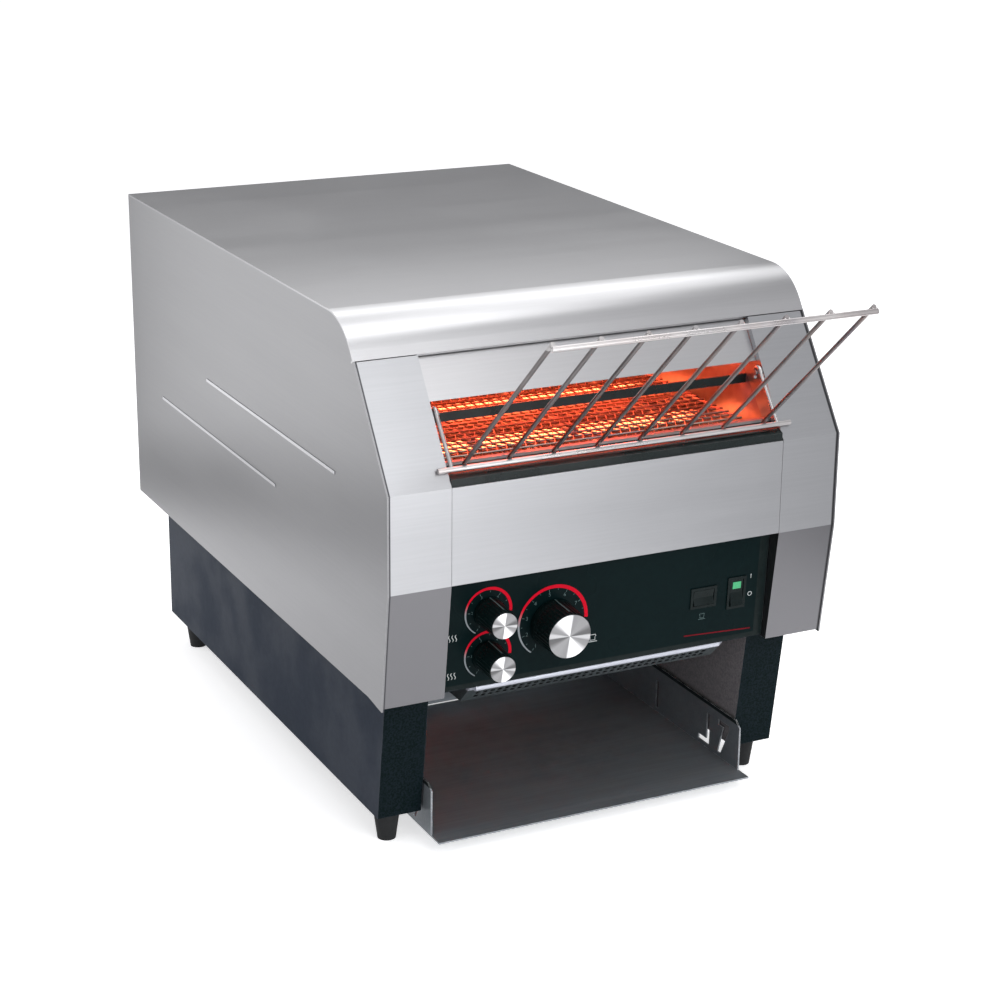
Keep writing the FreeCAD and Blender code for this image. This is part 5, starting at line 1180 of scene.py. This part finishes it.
@dataclass
class Knobs:
    """The three knobs of the control panel."""

    panel: Panel = field(default_factory=Panel)

    def build(self) -> None:
        """Make the knobs in order."""
        Knob("upper_small_knob", Body.UPPER_KNOB, -0.0998, 0.1909, 0.0116, 0.0106, 0.0098, 24).build(self.panel)
        Knob("lower_small_knob", Body.LOWER_KNOB, -0.0998, 0.1571, 0.0116, 0.0106, 0.0098, 24).build(self.panel)
        Knob("large_knob", Body.LARGE_KNOB, -0.0472, 0.1738, 0.0185, 0.0175, 0.0167, 36).build(self.panel)


@dataclass
class Loop:
    """A closed run round two wheels of one size."""

    near: tuple[float, float]
    far: tuple[float, float]
    radius: float

    def __post_init__(self) -> None:
        """Work out the straight run and the whole length."""
        run = Vector(self.far) - Vector(self.near)
        self.straight = run.length
        self.along = run.normalized()
        self.above = Vector((-self.along.y, self.along.x))
        self.length = 2 * self.straight + 2 * math.pi * self.radius

    def at(self, travel: float) -> tuple[Vector, Vector]:
        """A place on the loop, from the start of the upper run.

        Args:
            travel: Distance along the loop.

        Returns:
            The place and the outward direction there, as depth and height.
        """
        travel %= self.length
        half = math.pi * self.radius
        near, far = Vector(self.near), Vector(self.far)
        if travel < self.straight:
            return near + self.along * travel + self.above * self.radius, self.above
        travel -= self.straight
        if travel < half:
            turn = travel / self.radius
            out = self.above * math.cos(turn) + self.along * math.sin(turn)
            return far + out * self.radius, out
        travel -= half
        if travel < self.straight:
            return far - self.along * travel - self.above * self.radius, -self.above
        turn = (travel - self.straight) / self.radius
        out = -self.above * math.cos(turn) - self.along * math.sin(turn)
        return near + out * self.radius, out


@dataclass
class Belt:
    """The woven wire belt with its shafts, bearings and rails."""

    near: tuple[float, float] = (0.046, 0.282)
    far: tuple[float, float] = (0.456, 0.282)
    middle_radius: float = 0.01665
    half: float = 0.1262
    rods: int = 102
    rod_radius: float = 0.0009
    weave_radius: float = 0.00065
    weave_lift: float = 0.0005
    bends: int = 64
    selvage: float = 0.0015

    def woven(self) -> None:
        """Cross rods, with a flat spiral of wire from each to the next."""
        loop = Loop(self.near, self.far, self.middle_radius)
        pitch = loop.length / self.rods
        piece = Piece("woven_belt")
        for index in range(self.rods):
            middle, out = loop.at(index * pitch)
            ends = [Vector((side * self.half, FRONT_FACE + middle.x, middle.y)) for side in (-1, 1)]
            piece.tube(ends, self.rod_radius, 6)
            weave = []
            for bend in range(self.bends + 1):
                place, out = loop.at((index + bend % 2) * pitch)
                place = place + out * (self.weave_lift if (bend + index) % 2 else -self.weave_lift)
                x = -self.half + self.selvage + 2 * (self.half - self.selvage) * bend / self.bends
                weave.append(Vector((x, FRONT_FACE + place.x, place.y)))
            piece.tube(weave, self.weave_radius, 5)
        piece.put(Body.HOUSING, BELT_WIRE, stands_for=["conveyor_belt"])

    def build(self) -> None:
        """Weave the belt and dress what carries it."""
        self.woven()
        dress(CHASSIS, "belt_support")
        dress(SHAFT, "idler_shaft", "drive_shaft")
        dress(BRONZE, "shaft_bearings")


@dataclass
class Drive:
    """The roller chain with its sprockets, motor and shaft."""

    near: tuple[float, float] = (0.170, 0.196)
    far: tuple[float, float] = (0.456, 0.282)
    middle_radius: float = 0.020
    plane: float = 0.153
    links: int = 80
    plate_radius: float = 0.0024
    waist: float = 0.0017
    inner_gap: float = 0.00135
    outer_gap: float = 0.0021
    plate_thick: float = 0.0006
    turned: tuple[tuple[float, float], ...] = ((0.0018, 0.0013), (0.0009, 0.0029))

    def plate_outline(self, pitch: float) -> list[tuple[float, float]]:
        """Outline of a link plate: two round ends and a waist between them."""
        outline = []
        for end, start in ((pitch / 2, -1), (-pitch / 2, 1)):
            for step in range(7):
                turn = math.radians(-90 + 180 * step / 6) if start < 0 else math.radians(90 + 180 * step / 6)
                outline.append((end + self.plate_radius * math.cos(turn), self.plate_radius * math.sin(turn)))
            outline.append((0.0, self.waist if start < 0 else -self.waist))
        return outline

    def chain(self) -> None:
        """Plates, rollers and pins, link by link round the sprockets."""
        loop = Loop(self.near, self.far, self.middle_radius)
        pitch = loop.length / self.links
        piece = Piece("roller_chain")
        for index in range(self.links):
            here, _ = loop.at(index * pitch)
            there, _ = loop.at((index + 1) * pitch)
            run = there - here
            along = Vector((0, run.x, run.y)).normalized()
            across = Vector((1, 0, 0))
            up = across.cross(along)
            place = Matrix((along, up, across)).transposed().to_4x4()
            middle = (here + there) / 2
            place.translation = Vector((self.plane, FRONT_FACE + middle.x, middle.y))
            gap = self.inner_gap if index % 2 else self.outer_gap
            for side in (-1, 1):
                low, high = sorted((side * gap, side * (gap + self.plate_thick)))
                piece.slab(self.plate_outline(run.length), low, high, place)
            centre = Vector((0, FRONT_FACE + here.x, here.y))
            for radius, half in self.turned:
                piece.tube(
                    [centre + across * (self.plane - half), centre + across * (self.plane + half)], radius, 10,
                )
        piece.put(Body.HOUSING, CHAIN, stands_for=["drive_chain"])

    def build(self) -> None:
        """Make the chain and dress the rest of the drive."""
        self.chain()
        dress(CHAIN, "drive_sprocket", "motor_sprocket")
        dress(MOTOR, "gearmotor")
        dress(SHAFT, "motor_shaft")


@dataclass
class Chamber:
    """Heaters, reflector and the sheets round the toast's way."""

    def build(self) -> None:
        """Dress the chamber and light its rods."""
        dress(UPPER_HEATER, "upper_heaters")
        dress(LOWER_HEATER, "lower_heaters")
        dress(CERAMIC, "heater_bushings")
        dress(REFLECTOR, "upper_reflector")
        dress(CHASSIS, "chamber_floor", "rear_deflector", "discharge_ceiling")


@dataclass
class Electrics:
    """Cooling fan and circuit board behind the control panel."""

    def build(self) -> None:
        """Dress the fan and the board."""
        dress(FAN_PLASTIC, "fan_frame", "fan_rotor")
        dress(BOARD, "control_board")


@dataclass
class Rack:
    """The wire feed rack and the hooks that hang it in the mouth."""

    top: tuple[float, float] = (-0.121, 0.4185)
    bars: int = 8
    half: float = 0.1219
    bar_lift: float = 0.0018
    slope: Point = (0.0, 0.6745, 0.7383)
    lump: Point = (0.0011, 0.0013, 0.0012)
    lump_side: float = 0.0015

    def welds(self) -> None:
        """Small flattened lumps where the bars meet the rods."""
        normal = Vector(self.slope)
        piece = Piece("rack_welds")
        for index in range(self.bars):
            x = -self.half + 2 * self.half * index / (self.bars - 1)
            centre = Vector((x, FRONT_FACE + self.top[0], self.top[1])) + normal * self.bar_lift
            for side in (-1, 1):
                piece.blob(centre + Vector((side * self.lump_side, 0, 0)), self.lump)
        piece.put(Body.RACK, RACK_ROD)

    def build(self) -> None:
        """Dress the rack and add its welds."""
        dress(RACK_BAR, "rack_grid")
        dress(RACK_ROD, "rack_hooks")
        self.welds()


@dataclass(frozen=True)
class Softbox:
    """A large soft lamp aimed at one place."""

    name: str
    place: Point
    aim: Point
    size: tuple[float, float]
    power: float

    def build(self) -> None:
        """Hang the lamp."""
        light = bpy.data.lights.new(self.name, "AREA")
        light.shape = "RECTANGLE"
        light.size, light.size_y = self.size
        light.energy = self.power
        lamp = bpy.data.objects.new(self.name, light)
        bpy.context.scene.collection.objects.link(lamp)
        toward = Vector(self.aim) - Vector(self.place)
        lamp.matrix_world = Matrix.Translation(self.place) @ toward.to_track_quat("-Z", "Y").to_matrix().to_4x4()


@dataclass
class Studio:
    """Camera, floor, lamps and the light all round."""

    place: Point = (-0.7868, -1.5980, 0.7938)
    azimuth: float = -26.58
    elevation: float = 18.51
    roll: float = 0.62
    lens: float = 84.03
    sensor: float = 36.0
    sight: float = 60.0
    paper_tones: tuple[Colour, Colour] = ((0.84, 0.84, 0.845), (0.86, 0.86, 0.865))
    paper_seen: float = 0.56
    paper_mirrored: float = 0.42
    wall_tones: tuple[Colour, Colour] = ((0.2, 0.2, 0.21), (0.9, 0.9, 0.92))
    wall_toward: Point = (-0.55, -0.75, 0.2)
    wall_span: float = 0.9
    paper: tuple[tuple[float, float], ...] = (
        (-0.56, -1.6), (0.55, -1.6), (0.55, 0.2), (2.4, 6.6), (-2.1, 6.6), (-0.58, 0.5),
    )
    lamps: tuple[Softbox, ...] = (
        Softbox("rear_softbox", (0.35, 1.25, 1.2), (-0.1, -0.05, 0.4), (1.3, 0.75), 3.8),
        Softbox("upper_rear_softbox", (0.5, 0.95, 1.5), (-0.05, -0.15, 0.4), (1.0, 0.4), 2.2),
        Softbox("overhead_softbox", (0.15, 0.3, 1.35), (0.0, -0.1, 0.4), (1.2, 0.9), 3.3),
        Softbox("right_overhead_softbox", (0.75, 0.4, 1.3), (0.1, -0.1, 0.4), (0.5, 0.9), 1.0),
        Softbox("top_front_softbox", (0.05, -0.35, 1.5), (-0.05, -0.2, 0.4), (0.9, 0.5), 3.6),
        Softbox("front_top_softbox", (0.25, -1.05, 1.35), (-0.05, -0.2, 0.36), (0.5, 0.6), 1.6),
        Softbox("front_softbox", (0.1, -1.5, 1.0), (-0.05, -0.2, 0.36), (0.7, 0.4), 4.1),
        Softbox("low_front_softbox", (0.25, -1.5, 0.22), (-0.16, -0.22, 0.22), (0.5, 0.36), 4.7),
        Softbox("right_softbox", (1.5, 0.35, 0.7), (0.184, 0.05, 0.27), (1.1, 0.8), 5.0),
        Softbox("low_left_softbox", (-0.4916, 0.581, 0.235), (-0.223, 0.447, 0.235), (0.6, 0.42), 1.07),
    )

    def camera(self) -> None:
        """Stand the camera where the photograph was taken."""
        turn, tilt, roll = (math.radians(angle) for angle in (self.azimuth, self.elevation, self.roll))
        back = Vector((math.sin(turn) * math.cos(tilt), -math.cos(turn) * math.cos(tilt), math.sin(tilt)))
        right = (-back).cross(Vector((0, 0, 1))).normalized()
        up = right.cross(-back)
        axes = (right * math.cos(roll) + up * math.sin(roll), up * math.cos(roll) - right * math.sin(roll), back)
        data = bpy.data.cameras.new("photo_camera")
        data.lens = self.lens
        data.sensor_width = self.sensor
        data.clip_end = self.sight
        camera = bpy.data.objects.new("photo_camera", data)
        bpy.context.scene.collection.objects.link(camera)
        camera.matrix_world = Matrix.Translation(self.place) @ Matrix(axes).transposed().to_4x4()
        bpy.context.scene.camera = camera

    def floor(self) -> None:
        """A sweep of white paper, laid along the view, that keeps the shadow."""
        made = bpy.data.materials.new("studio_floor")
        made.use_nodes = True
        wiring = Wiring(made.node_tree)
        here = wiring.add("TexCoord").outputs["Object"]
        tone = wiring.blend(wiring.noise(here, 3.0, 4.0), *self.paper_tones)
        path = wiring.add("LightPath").outputs
        mirrored = wiring.math("MAXIMUM", path["Is Glossy Ray"], path["Is Transmission Ray"])
        mirrored = wiring.math("MULTIPLY", mirrored, self.paper_mirrored)
        seen = wiring.math("MAXIMUM", mirrored, wiring.math("MULTIPLY", path["Is Camera Ray"], self.paper_seen))
        shader = wiring.add("BsdfPrincipled", {
            "Base Color": tone, "Roughness": 0.95, "Specular IOR Level": 0.1, "Emission Color": (1, 1, 1),
            "Emission Strength": seen,
        })
        wiring.add("OutputMaterial", {"Surface": shader.outputs[0]})
        turn = Matrix.Rotation(math.radians(self.azimuth), 4, "Z")
        corners = [turn @ Vector((across, along, 0)) for across, along in self.paper]
        data = bpy.data.meshes.new("studio_floor")
        data.from_pydata(corners, [], [list(range(len(corners)))])
        data.materials.append(made)
        ground = bpy.data.objects.new("studio_floor", data)
        bpy.context.scene.collection.objects.link(ground)

    def surroundings(self) -> None:
        """Grey studio walls: paler to the front and left, darker behind."""
        world = bpy.data.worlds.new("studio")
        world.use_nodes = True
        bpy.context.scene.world = world
        wiring = Wiring(world.node_tree)
        facing = wiring.add("TexCoord").outputs["Generated"]
        feeds = {0: facing, 1: self.wall_toward}
        ahead = wiring.add("VectorMath", feeds, operation="DOT_PRODUCT").outputs["Value"]
        tone = wiring.blend(wiring.span(ahead, -self.wall_span, self.wall_span), *self.wall_tones)
        tone = wiring.blend(wiring.add("LightPath").outputs["Is Camera Ray"], tone, (1.0, 1.0, 1.0))
        shade = wiring.add("Background", {"Color": tone, "Strength": 1.0})
        wiring.add("OutputWorld", {"Surface": shade.outputs[0]})

    def build(self) -> None:
        """Set up the whole studio."""
        bpy.context.scene.view_settings.view_transform = "Standard"
        self.camera()
        self.floor()
        self.surroundings()
        for lamp in self.lamps:
            lamp.build()
        log.info("studio: ready")


def main() -> None:
    """Build and dress the toaster, then its studio."""
    Casing().build()
    Base().build()
    ControlFront().build()
    Knobs().build()
    Belt().build()
    Drive().build()
    Chamber().build()
    Electrics().build()
    Rack().build()
    Studio().build()
    bpy.context.view_layer.update()


if __name__ == "__main__":
    main()
